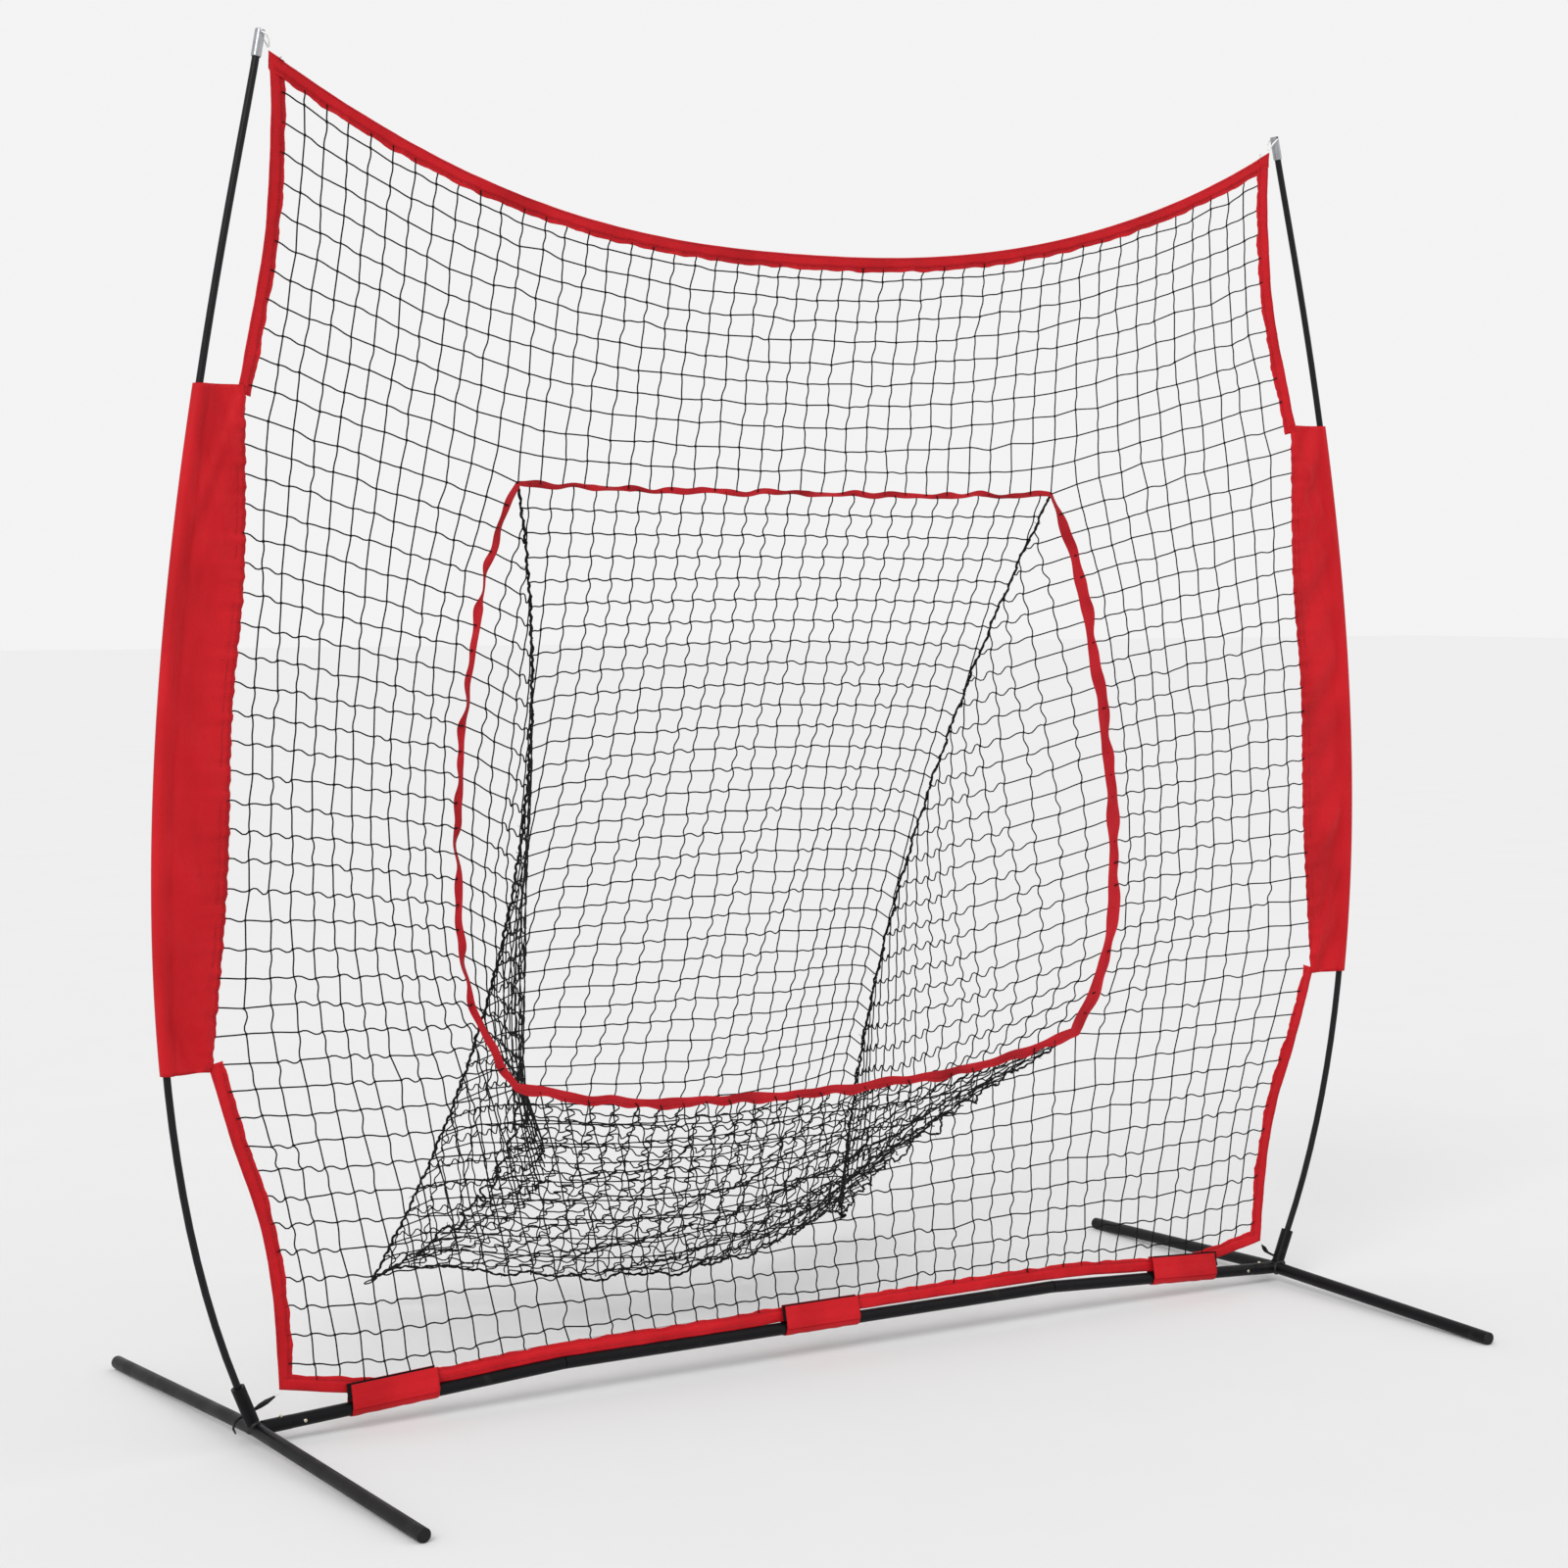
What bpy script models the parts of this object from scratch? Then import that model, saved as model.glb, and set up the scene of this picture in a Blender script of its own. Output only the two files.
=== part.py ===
"""Pitching target net: a bow-pole frame on two feet, a bordered net and a rear catching pocket.

Metres, +Z up, X along the crossbar, the pitcher on the -Y side and the pocket on the +Y side.
The net hangs in the plane through the crossbar; FRAME_Y moves that plane so that the origin
is under the middle of the whole object.
"""
from math import atan2, cos, pi, radians, sin

import bmesh
import bpy
import numpy as np

FRAME_Y = -0.0833

# Base tubes
TUBE_R = 0.011
TUBE_WALL = 0.0013
TUBE_SIDES = 24
JOINT_X = 1.028
JOINT_Z = 0.028
FOOT_HALF = 0.562
FOOT_TOE = radians(1.3)
CAP_RIM = 0.003
CAP_PLUG = 0.014
CAP_EDGE = 0.001

# Crossbar, in an end section, a raised centre section and an end section
BAR_R = 0.0107
BAR_BEND_X = 0.4955
BAR_BEND_Z = 0.057
STUB_REACH = 0.058
BAR_NECK_R = 0.0090
BAR_NECK_REACH = 0.020
NECK_BORE = 0.0074
BAR_BORE = 0.0092
BEND_GAP = 0.0008
COUPLER_R = 0.0088
COUPLER_HALF = 0.060
BUTTON_X = 0.986
BUTTON_R = 0.0031
BUTTON_PROUD = 0.0026
BUTTON_BASE = 0.0035
RIVET_X = 0.950
RIVET_R = 0.0028
RIVET_HEAD = 0.0013
RIVET_EDGE = 0.0005

# Poles: a rod bent to a long bow, in two sections with a steel ferrule
SOCKET_LEAN = radians(22.1)
SOCKET_REACH = 0.0735
SOCKET_BORE = 0.0066
POLE_R = 0.00575
POLE_SIDES = 16
POLE_TOP = (0.996, 2.128)
POLE_TOP_LEAN = radians(10.6)
POLE_HANDLES = (0.759, 0.2745)
POLE_FORWARD = 0.018
POLE_STATIONS = 40
POLE_JOINT = 20
FERRULE_R = 0.0073
FERRULE_HALF = 0.045
POLE_CAP_R = 0.00775
POLE_CAP_LENGTH = 0.042
POLE_CAP_BORE = 0.032
POLE_CAP_ABOVE = 0.006
POLE_FIT = 0.0006
SLOT_WIDTH = 0.0042
SLOT_DEPTH = 0.0075

# Net, fabric edges and sleeves
NET_HALF_WIDTH = 1.04
NET_MID_Z = 1.10
NET_HALF_HEIGHT = 1.03
NET_INSET = 0.0045
NET_T = 0.0024
FABRIC_T = 0.0030
BORDER_W = 0.0245
TOP_CORNER = (0.982, 2.104)
TOP_MIDDLE_Z = 1.867
TOP_POWER = 2.37
UPPER_EDGE = ((0.982, 2.104), (0.980, 2.000), (0.993, 1.829), (1.030, 1.655), (1.041, 1.6095))
LOWER_EDGE = ((1.098, 0.5815), (1.064, 0.470), (1.0205, 0.345), (0.998, 0.225), (0.988, 0.083))
BOTTOM_EDGE = ((0.988, 0.083), (0.872, 0.0615), (0.797, 0.0540), (0.680, 0.0605),
               (0.490, 0.0705), (0.0, 0.0700))
SLEEVE_TOP = 1.608
SLEEVE_BOTTOM = 0.583
SLEEVE_EDGE = ((1.031, 1.608), (1.037, 1.330), (1.059, 1.120), (1.070, 0.860), (1.096, 0.583))
SLEEVE_BORE = 0.0080
SLEEVE_R = 0.0095
SLEEVE_ROWS = 14
GAP = 0.0004

# Opening of the strike zone, seen from the front, and the pocket behind it
MOUTH = ((0.000, 1.468), (0.300, 1.468), (0.535, 1.474), (0.592, 1.344), (0.642, 1.094),
         (0.661, 0.860), (0.640, 0.655), (0.575, 0.515), (0.330, 0.460), (0.000, 0.445))
MOUTH_POINTS = 64
TRIM_W = 0.012
POCKET_TIP = (0.509, 0.700, 0.060)
POCKET_T = 0.0030
SEAM_WAIST = 0.115
SEAM_SAG = 0.035
SEAM_R = 0.0025
BELLY = (0.500, 0.090)
BELLY_DROP = 0.020

# Straps that tie the bottom border to the crossbar
STRAP_X = (-0.797, 0.0, 0.797)
STRAP_NAMES = ("left", "centre", "right")
STRAP_W = 0.148
STRAP_T = 0.0014
FLAP_TOP = 0.0385
FLAP_LEAN = 0.0075
HINGE_Y = -0.0133


def clear_scene():
    """Remove whatever the file held before."""
    for item in list(bpy.data.objects):
        bpy.data.objects.remove(item, do_unlink=True)


def material(name, colour, roughness, metallic=0.0):
    """A plain Principled material."""
    made = bpy.data.materials.new(name)
    made.use_nodes = True
    shader = made.node_tree.nodes["Principled BSDF"]
    shader.inputs["Base Color"].default_value = (*colour, 1.0)
    shader.inputs["Roughness"].default_value = roughness
    shader.inputs["Metallic"].default_value = metallic
    return made


def add_object(name, verts, faces, finish, origin=(0.0, 0.0, 0.0)):
    """One named solid whose origin is given, facing out, under the net frame's empty."""
    origin = np.array(origin, float)
    mesh = bpy.data.meshes.new(name)
    mesh.from_pydata([tuple(np.array(v, float) - origin) for v in verts], [], faces)
    shape = bmesh.new()
    shape.from_mesh(mesh)
    bmesh.ops.recalc_face_normals(shape, faces=shape.faces)
    shape.to_mesh(mesh)
    shape.free()
    mesh.shade_smooth()
    mesh.set_sharp_from_angle(angle=radians(35))
    mesh.materials.append(MATERIALS[finish])
    made = bpy.data.objects.new(name, mesh)
    made.location = origin
    made.parent = NET_FRAME
    bpy.context.scene.collection.objects.link(made)
    return made


def frames_along(path, cyclic=False):
    """Two unit vectors across the path at each of its points, without twist."""
    path = np.array(path, float)
    after = np.roll(path, -1, 0) if cyclic else np.vstack([path[1:], 2 * path[-1] - path[-2]])
    before = np.roll(path, 1, 0) if cyclic else np.vstack([2 * path[0] - path[1], path[:-1]])
    along = after - before
    along /= np.linalg.norm(along, axis=1)[:, None]
    start = np.array([0.0, 1.0, 0.0]) if abs(along[0, 1]) < 0.8 else np.array([0.0, 0.0, 1.0])
    across = []
    for direction in along:
        start = start - direction * start.dot(direction)
        start /= np.linalg.norm(start)
        across.append(start)
    across = np.array(across)
    return across, np.cross(along, across)


def rings(path, radii, sides, cyclic=False):
    """A circle of vertices round each point of a path."""
    u, v = frames_along(path, cyclic)
    radii = np.broadcast_to(radii, len(path))
    turn = [2 * pi * k / sides for k in range(sides)]
    loops = []
    for point, radius, du, dv in zip(path, radii, u, v):
        loops.append([np.array(point) + radius * (cos(a) * du + sin(a) * dv) for a in turn])
    return loops


def skin(ring_list, cyclic=False):
    """Quads that join each ring of vertices to the next, by index."""
    size = len(ring_list[0])
    count = len(ring_list)
    faces = []
    for i in range(count if cyclic else count - 1):
        a, b = i * size, (i + 1) % count * size
        faces += [(a + k, a + (k + 1) % size, b + (k + 1) % size, b + k) for k in range(size)]
    return faces


def rod(name, path, radii, finish, sides=POLE_SIDES, cyclic=False, origin=(0.0, 0.0, 0.0)):
    """A solid round piece along a path, with a radius for each point or one for all."""
    circles = rings(path, radii, sides, cyclic)
    faces = skin(circles, cyclic)
    if not cyclic:
        faces += [tuple(range(sides)), tuple(range((len(path) - 1) * sides, len(path) * sides))]
    return add_object(name, [v for ring in circles for v in ring], faces, finish, origin)


def hollow(name, outer_loops, inner_loops, finish):
    """A pipe between outer and inner loops of equal size, open at both ends."""
    loops = outer_loops + inner_loops[::-1]
    return add_object(name, [v for loop in loops for v in loop], skin(loops, cyclic=True), finish)


def pipe(name, path, radii, bore, finish, sides=TUBE_SIDES, bore_path=None):
    """A round tube along a path, whose bore may change size at stops of its own."""
    inner = path if bore_path is None else bore_path
    return hollow(name, rings(path, radii, sides), rings(inner, bore, sides), finish)


def sheet(name, grid, thickness, finish, cyclic=False, origin=(0.0, 0.0, 0.0)):
    """A closed sheet: a grid of points given a thickness along its normals."""
    grid = np.array(grid, float)
    rows, columns = grid.shape[:2]
    down = np.gradient(grid, axis=0)
    if cyclic:
        right = np.roll(grid, -1, 1) - np.roll(grid, 1, 1)
    else:
        right = np.gradient(grid, axis=1)
    normal = np.cross(down, right)
    normal /= np.linalg.norm(normal, axis=2)[..., None]
    verts = np.vstack([(grid + s * thickness / 2 * normal).reshape(-1, 3) for s in (-1, 1)])
    back = rows * columns
    last = columns if cyclic else columns - 1
    faces = []
    for i in range(rows - 1):
        for j in range(last):
            a, b = i * columns + j, i * columns + (j + 1) % columns
            for triple in ((a, b, b + columns), (a, b + columns, a + columns)):
                faces += [triple, tuple(back + k for k in triple[::-1])]
    rims = [(i * columns + j, i * columns + (j + 1) % columns) for i in (0, rows - 1) for j in range(last)]
    if not cyclic:
        rims += [(i * columns + j, (i + 1) * columns + j) for j in (0, columns - 1) for i in range(rows - 1)]
    faces += [(a, b, back + b, back + a) for a, b in rims]
    return add_object(name, verts, faces, finish, origin)


def smooth_curve(points, count):
    """A Catmull-Rom curve through the points, sampled evenly by length."""
    points = np.array(points, float)
    padded = np.vstack([2 * points[0] - points[1], points, 2 * points[-1] - points[-2]])
    fine = []
    for p0, p1, p2, p3 in zip(padded, padded[1:], padded[2:], padded[3:]):
        t = np.linspace(0, 1, 16, endpoint=False)[:, None]
        fine.append(0.5 * (2 * p1 + (p2 - p0) * t + (2 * p0 - 5 * p1 + 4 * p2 - p3) * t ** 2
                           + (3 * p1 - p0 - 3 * p2 + p3) * t ** 3))
    fine = np.vstack([*fine, points[-1:]])
    return even(fine, count)


def even(line, count, start=0.0, end=0.0):
    """The same line with evenly spaced points, its ends cut back by two lengths."""
    line = np.array(line, float)
    length = np.concatenate([[0], np.cumsum(np.linalg.norm(np.diff(line, axis=0), axis=1))])
    stops = np.linspace(start, length[-1] - end, count)
    return np.stack([np.interp(stops, length, column) for column in line.T], 1)


def bow_forward(z):
    """How far the bent poles stand in front of the net plane at a height."""
    base = pole_base()[1]
    t = np.clip((z - base) / (POLE_TOP[1] - base), 0, 1)
    return -POLE_FORWARD * 4 * t * (1 - t)


def net_depth(x, z):
    """Y of the net: the poles' bow in front, and the pocket's pull to the rear in the middle."""
    across = np.clip(1 - (x / NET_HALF_WIDTH) ** 2, 0, 1)
    up = np.clip(1 - ((z - NET_MID_Z) / NET_HALF_HEIGHT) ** 2, 0, 1)
    return bow_forward(z) + across * up * (0.055 + 0.05 * z)


def on_net(flat):
    """Points of the front view, (x, z), laid on the net's surface."""
    flat = np.array(flat, float)
    x, z = flat[..., 0], flat[..., 1]
    return np.stack([x, net_depth(x, z), z], -1)


def offset_inward(line, distance):
    """A front-view line moved sideways, to its right as it runs."""
    along = np.gradient(line, axis=0)
    along /= np.linalg.norm(along, axis=1)[:, None]
    return line + distance * np.stack([along[:, 1], -along[:, 0]], 1)


def mirror(line, side):
    """The line on the given side of the middle."""
    return np.array(line, float) * np.array([side] + [1] * (len(line[0]) - 1))


# --- Base -------------------------------------------------------------------------------

def foot_path(side):
    """Axis of a foot: two straight halves that meet at the raised middle."""
    rise = atan2(JOINT_Z - TUBE_R, FOOT_HALF)
    end_z = TUBE_R * cos(rise)
    path = []
    for y, z in ((-FOOT_HALF, end_z), (0.0, JOINT_Z), (FOOT_HALF, end_z)):
        path.append((side * (JOINT_X + y * sin(FOOT_TOE)), y * cos(FOOT_TOE), z))
    return np.array(path)


def build_foot(side, word):
    """A foot tube, shortened by its caps' rims, and the two plug caps."""
    path = foot_path(side)
    middle = path[1]
    trimmed = path.copy()
    for end in (0, 2):
        length = np.linalg.norm(path[end] - middle)
        outward = (path[end] - middle) / length
        trimmed[end] = path[end] - outward * (CAP_RIM + GAP)
        steps = (-CAP_RIM - CAP_PLUG, -CAP_RIM - 0.0001, -CAP_RIM, -CAP_EDGE, 0.0)
        radii = [TUBE_R - TUBE_WALL - GAP] * 2 + [TUBE_R, TUBE_R, TUBE_R - CAP_EDGE]
        place = "front" if end == 0 else "back"
        axis = [path[end] + outward * s for s in steps]
        rod(f"foot_cap_{word}_{place}", axis, radii, "plastic", TUBE_SIDES)
    pipe(f"foot_tube_{word}", trimmed, TUBE_R, TUBE_R - TUBE_WALL, "steel")


def bar_point(x):
    """A point of the crossbar's axis."""
    slope = (BAR_BEND_Z - JOINT_Z) / (JOINT_X - BAR_BEND_X)
    return np.array([x, 0.0, min(BAR_BEND_Z, JOINT_Z + (JOINT_X - abs(x)) * slope)])


def vertical_hole(target, x, radius, low, high):
    """Cut an upright round hole in a tube's top wall."""
    centre = bar_point(x)
    cutter = rod(f"{target.name}_hole_tool", [centre + (0, 0, low), centre + (0, 0, high)], radius, "brass")
    cutter.hide_render = True
    cutter.display_type = "WIRE"
    cut = target.modifiers.new("hole", "BOOLEAN")
    cut.operation = "DIFFERENCE"
    cut.solver = "EXACT"
    cut.object = cutter


def build_crossbar_end(side, word):
    """The welded stub, the end section that plugs into it, and the snap button with its spring."""
    stub_mouth = JOINT_X - STUB_REACH
    stub = pipe(f"crossbar_stub_{word}", [bar_point(side * x) for x in (JOINT_X - TUBE_R - GAP, stub_mouth)],
                TUBE_R, BAR_NECK_R + GAP, "steel")
    neck_end = JOINT_X - BAR_NECK_REACH
    shoulder = stub_mouth - GAP
    stops = (neck_end, shoulder, shoulder - 0.0002, BAR_BEND_X + BEND_GAP)
    bore_stops = (neck_end, shoulder - 0.0040, shoulder - 0.0050, BAR_BEND_X + BEND_GAP)
    section = pipe(f"crossbar_section_{word}", [bar_point(side * x) for x in stops],
                   [BAR_NECK_R, BAR_NECK_R, BAR_R, BAR_R], [NECK_BORE, NECK_BORE, BAR_BORE, BAR_BORE],
                   "steel", bore_path=[bar_point(side * x) for x in bore_stops])
    for target in (stub, section):
        vertical_hole(target, side * BUTTON_X, BUTTON_R + 0.0004, 0.004, 0.016)
    centre = bar_point(side * BUTTON_X)
    top = TUBE_R + BUTTON_PROUD
    heights = (BUTTON_BASE, top - 0.0012, top)
    rod(f"snap_button_{word}", [centre + (0, 0, h) for h in heights],
        [BUTTON_R, BUTTON_R, BUTTON_R - 0.0012], "brass", origin=centre)
    build_spring(side, word, centre)
    face = bar_point(side * RIVET_X)
    head = [face - (0, BAR_R + s, 0) for s in (GAP, RIVET_HEAD - RIVET_EDGE, RIVET_HEAD)]
    rod(f"crossbar_rivet_{word}", head, [RIVET_R, RIVET_R, RIVET_R - RIVET_EDGE], "brass")


def build_spring(side, word, centre):
    """A bent leaf inside the neck: its foot lies in the tube and its tip lifts the button."""
    low, high = -NECK_BORE + 0.0018, BUTTON_BASE - GAP
    leaf = [(-0.006, high), (0.004, high), (0.013, (low + high) / 2), (0.004, low), (-0.010, low)]
    grid = [[centre + (side * -x, y, z) for y in (-0.0022, 0.0022)] for x, z in leaf]
    sheet(f"snap_spring_{word}", grid, 0.0006, "spring")


def build_crossbar_middle():
    """The raised centre section, and a coupler inside each bend."""
    ends = [bar_point(s * (BAR_BEND_X - BEND_GAP)) for s in (-1, 1)]
    pipe("crossbar_section_centre", ends, BAR_R, BAR_BORE, "steel")
    for side, word in SIDES:
        path = [bar_point(side * (BAR_BEND_X + reach)) for reach in (COUPLER_HALF, 0.0, -COUPLER_HALF)]
        pipe(f"crossbar_coupler_{word}", path, COUPLER_R, COUPLER_R - 0.0012, "steel")


# --- Poles ------------------------------------------------------------------------------

def pole_base():
    """Where a pole leaves its socket, in the front view of the +X side."""
    return (JOINT_X + SOCKET_REACH * sin(SOCKET_LEAN), JOINT_Z + SOCKET_REACH * cos(SOCKET_LEAN))


def pole_curve(side):
    """The bowed axis of a pole, from its socket's rim to its tip."""
    base, top = np.array(pole_base()), np.array(POLE_TOP)
    low = base + POLE_HANDLES[0] * np.array([sin(SOCKET_LEAN), cos(SOCKET_LEAN)])
    high = top + POLE_HANDLES[1] * np.array([sin(POLE_TOP_LEAN), -cos(POLE_TOP_LEAN)])
    t = np.linspace(0, 1, 200)[:, None]
    flat = (1 - t) ** 3 * base + 3 * (1 - t) ** 2 * t * low + 3 * (1 - t) * t ** 2 * high + t ** 3 * top
    flat = even(flat, POLE_STATIONS)
    return np.stack([side * flat[:, 0], bow_forward(flat[:, 1]), flat[:, 1]], 1)


def shortened(path, start=0.0, end=0.0):
    """The path with its first and last segments made shorter."""
    path = np.array(path)
    first, last = path[1] - path[0], path[-2] - path[-1]
    path[0] = path[0] + first / np.linalg.norm(first) * start
    path[-1] = path[-1] + last / np.linalg.norm(last) * end
    return path


def build_pole(side, word):
    """Socket, two rod sections, their ferrule and the slotted tip of one pole."""
    joint = np.array([side * JOINT_X, 0.0, JOINT_Z])
    lean = np.array([side * sin(SOCKET_LEAN), 0.0, cos(SOCKET_LEAN)])
    pipe(f"pole_socket_{word}", [joint + lean * s for s in (TUBE_R + GAP, SOCKET_REACH)],
         TUBE_R, SOCKET_BORE, "steel")
    curve = pole_curve(side)
    lower = np.vstack([joint + lean * (TUBE_R + 0.004), curve[: POLE_JOINT + 1]])
    rod(f"pole_lower_{word}", shortened(lower, end=GAP / 2), POLE_R, "fibreglass")
    rod(f"pole_upper_{word}", shortened(curve[POLE_JOINT:], GAP / 2, 0.010), POLE_R, "fibreglass")
    ahead = curve[POLE_JOINT + 1] - curve[POLE_JOINT - 1]
    ahead /= np.linalg.norm(ahead)
    reach = [curve[POLE_JOINT] + ahead * s * FERRULE_HALF for s in (-1, 1)]
    pipe(f"pole_ferrule_{word}", reach, FERRULE_R, POLE_R + POLE_FIT, "ferrule", POLE_SIDES)
    build_pole_cap(side, word)


def cap_frame(side):
    """Tip point and upward direction of a pole's cap."""
    curve = pole_curve(side)
    up = curve[-1] - curve[-2]
    return curve[-1], up / np.linalg.norm(up)


def build_pole_cap(side, word):
    """A turned tip with a bore for the rod and a cross slot for the elastic loop."""
    tip, up = cap_frame(side)
    top = tip + up * POLE_CAP_ABOVE
    outer = [top + up * s for s in (-POLE_CAP_LENGTH, -POLE_CAP_LENGTH + CAP_EDGE, -CAP_EDGE, 0.0)]
    radii = [POLE_CAP_R - CAP_EDGE, POLE_CAP_R, POLE_CAP_R, POLE_CAP_R - CAP_EDGE]
    bore = [top + up * s for s in (-POLE_CAP_LENGTH, -POLE_CAP_LENGTH + POLE_CAP_BORE)]
    loops = rings(bore, POLE_R + POLE_FIT, TUBE_SIDES)[::-1] + rings(outer, radii, TUBE_SIDES)
    last = len(loops) - 1
    faces = skin(loops) + [tuple(range(TUBE_SIDES)), tuple(range(last * TUBE_SIDES, (last + 1) * TUBE_SIDES))]
    cap = add_object(f"pole_cap_{word}", [v for loop in loops for v in loop], faces, "aluminium")
    across = np.cross(up, (0.0, 1.0, 0.0))
    corners = []
    for depth in (-SLOT_DEPTH, 0.004):
        for a, y in ((-1, -1), (1, -1), (1, 1), (-1, 1)):
            corners.append(top + up * depth + across * a * SLOT_WIDTH / 2 + np.array([0, 0.012 * y, 0]))
    box = [(0, 1, 2, 3), (4, 5, 6, 7), (0, 1, 5, 4), (1, 2, 6, 5), (2, 3, 7, 6), (3, 0, 4, 7)]
    cutter = add_object(f"pole_cap_{word}_slot_tool", corners, box, "aluminium")
    cutter.hide_render = True
    cutter.display_type = "WIRE"
    cut = cap.modifiers.new("slot", "BOOLEAN")
    cut.operation = "DIFFERENCE"
    cut.solver = "EXACT"
    cut.object = cutter


def build_corner_ties(side, word):
    """The elastic loop at the pole's tip, and the loop and hook at the socket."""
    tip, up = cap_frame(side)
    seat = tip + up * (POLE_CAP_ABOVE - SLOT_DEPTH + 0.0024)
    inward = np.array([-side, 0.0, 0.0])
    corner = on_net([side * TOP_CORNER[0], TOP_CORNER[1]]) + np.array([0, 0, 0.0022])
    route = [seat + (0, y, 0) for y in (-0.0095, 0.0, 0.0095)]
    rear = [inward * 0.0045 + (0, 0.0112, -0.002), inward * 0.0110 + (0, 0.0078, -0.010)]
    front = [point * (1, -1, 1) for point in rear[::-1]]
    route += [seat + point for point in rear]
    route += [corner + (0, 0.0022, 0.003), corner + (0, -0.0022, 0.003)]
    route += [seat + point for point in front]
    rod(f"top_loop_{word}", route, 0.0013, "elastic", sides=8, cyclic=True)
    hook = [(0.9945, 0.0020, 0.0735), (0.9975, 0.0035, 0.0712), (1.0060, 0.0085, 0.0650),
            (1.0140, 0.0135, 0.0590), (1.0225, 0.0165, 0.0535), (1.0340, 0.0168, 0.0475),
            (1.0475, 0.0160, 0.0440), (1.0560, 0.0140, 0.0385), (1.0590, 0.0110, 0.0300),
            (1.0560, 0.0085, 0.0225)]
    radii = [0.0016, 0.0022, 0.0042, 0.0040, 0.0024, 0.0022, 0.0022, 0.0022, 0.0021, 0.0012]
    rod(f"corner_hook_{word}", mirror(hook, side), radii, "plastic", sides=10)
    tie = [(0.9880, -0.0030, 0.0800), (0.9905, -0.0015, 0.0770), (0.9928, 0.0015, 0.0748)]
    rod(f"corner_loop_{word}", mirror(tie, side), 0.0011, "elastic", sides=8)


# --- Net and fabric edges ---------------------------------------------------------------

def top_edge(count):
    """The sagging upper edge of the net, from left to right, in the front view."""
    x = np.linspace(-TOP_CORNER[0], TOP_CORNER[0], count)
    z = TOP_MIDDLE_Z + (TOP_CORNER[1] - TOP_MIDDLE_Z) * (np.abs(x) / TOP_CORNER[0]) ** TOP_POWER
    return np.stack([x, z], 1)


def bottom_edge(count):
    """The lower edge of the net, from right to left, in the front view."""
    half = smooth_curve(BOTTOM_EDGE, count // 2 + 1)
    return np.vstack([half, mirror(half[-2::-1], -1)])


def border_strip(name, line, trim_start=0.0, trim_end=0.0):
    """A fabric edge: a band along a front-view line, to the right of its run."""
    line = even(line, len(line), trim_start, trim_end)
    rows = [offset_inward(line, BORDER_W * s) for s in (0.0, 0.5, 1.0)]
    if name == "border_top":
        rows = [np.clip(row, (-TOP_CORNER[0], 0.0), TOP_CORNER) for row in rows]
    rows = [on_net(row) for row in rows]
    sheet(name, np.array(rows).transpose(1, 0, 2), FABRIC_T, "fabric")


def build_borders():
    """The six bands round the net between the sleeves."""
    border_strip("border_top", top_edge(33))
    border_strip("border_bottom", bottom_edge(24))
    for side, word in SIDES:
        for place, edge in (("upper", UPPER_EDGE), ("lower", LOWER_EDGE)):
            skip = 0.0450 if place == "upper" else 0.0010
            stop = 0.0010 if place == "upper" else 0.0265
            line = mirror(smooth_curve(edge, 14), side)
            if side < 0:
                line, skip, stop = line[::-1], stop, skip
            border_strip(f"border_{place}_{word}", line, skip, stop)


def sleeve_inner_x(z):
    """X of a sleeve's inner edge at a height."""
    edge = smooth_curve(SLEEVE_EDGE, 60)[::-1]
    return np.interp(z, edge[:, 1], edge[:, 0])


def build_sleeve(side, word):
    """A folded band whose outer edge wraps the pole and whose inner edge carries the net."""
    curve = pole_curve(side)
    heights = np.linspace(SLEEVE_BOTTOM, SLEEVE_TOP, SLEEVE_ROWS)
    outer, inner = [], []
    for z in heights:
        x = np.interp(z, curve[:, 2], np.abs(curve[:, 0]))
        web = x - sleeve_inner_x(z)
        y = bow_forward(z)
        wrap = [radians(a) for a in (90, 60, 30, 0, -30, -60, -90)]
        section = [(SLEEVE_R * cos(a), SLEEVE_R * sin(a)) for a in wrap]
        section += [(-web * 0.35, -0.0034), (-web, -0.0015), (-web, 0.0015), (-web * 0.35, 0.0034)]
        bore = wrap + [radians(a) for a in (-122, -162, -198, -238)]
        outer.append([np.array([side * (x + u), y + v, z]) for u, v in section])
        around = [(SLEEVE_BORE * cos(a), SLEEVE_BORE * sin(a)) for a in bore]
        inner.append([np.array([side * (x + u), y + v, z]) for u, v in around])
    hollow(f"sleeve_{word}", outer, inner, "fabric")


def net_outline(count):
    """Front-view outline of the netting inside its borders, clockwise from the top middle."""
    inset = BORDER_W + NET_INSET
    top = offset_inward(top_edge(41), inset)[20:]
    upper = offset_inward(smooth_curve(UPPER_EDGE, 20), inset)
    sleeve = offset_inward(smooth_curve(SLEEVE_EDGE, 24), NET_INSET)
    lower = offset_inward(smooth_curve(LOWER_EDGE, 20), inset)
    bottom = offset_inward(bottom_edge(40), inset)[:21]
    top = top[top[:, 0] < 0.953]
    sleeve = sleeve[(sleeve[:, 1] < SLEEVE_TOP - 0.030) & (sleeve[:, 1] > SLEEVE_BOTTOM + 0.040)]
    upper = upper[(upper[:, 1] < 2.062) & (upper[:, 1] > SLEEVE_TOP + 0.030)]
    lower = lower[(lower[:, 1] < SLEEVE_BOTTOM - 0.040) & (lower[:, 1] > 0.112)]
    bottom = bottom[bottom[:, 0] < 0.960]
    right = np.vstack([top, upper, sleeve, lower, bottom])
    right = even(right, count // 2 + 1)
    return np.vstack([right, mirror(right[-2:0:-1], -1)])


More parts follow.
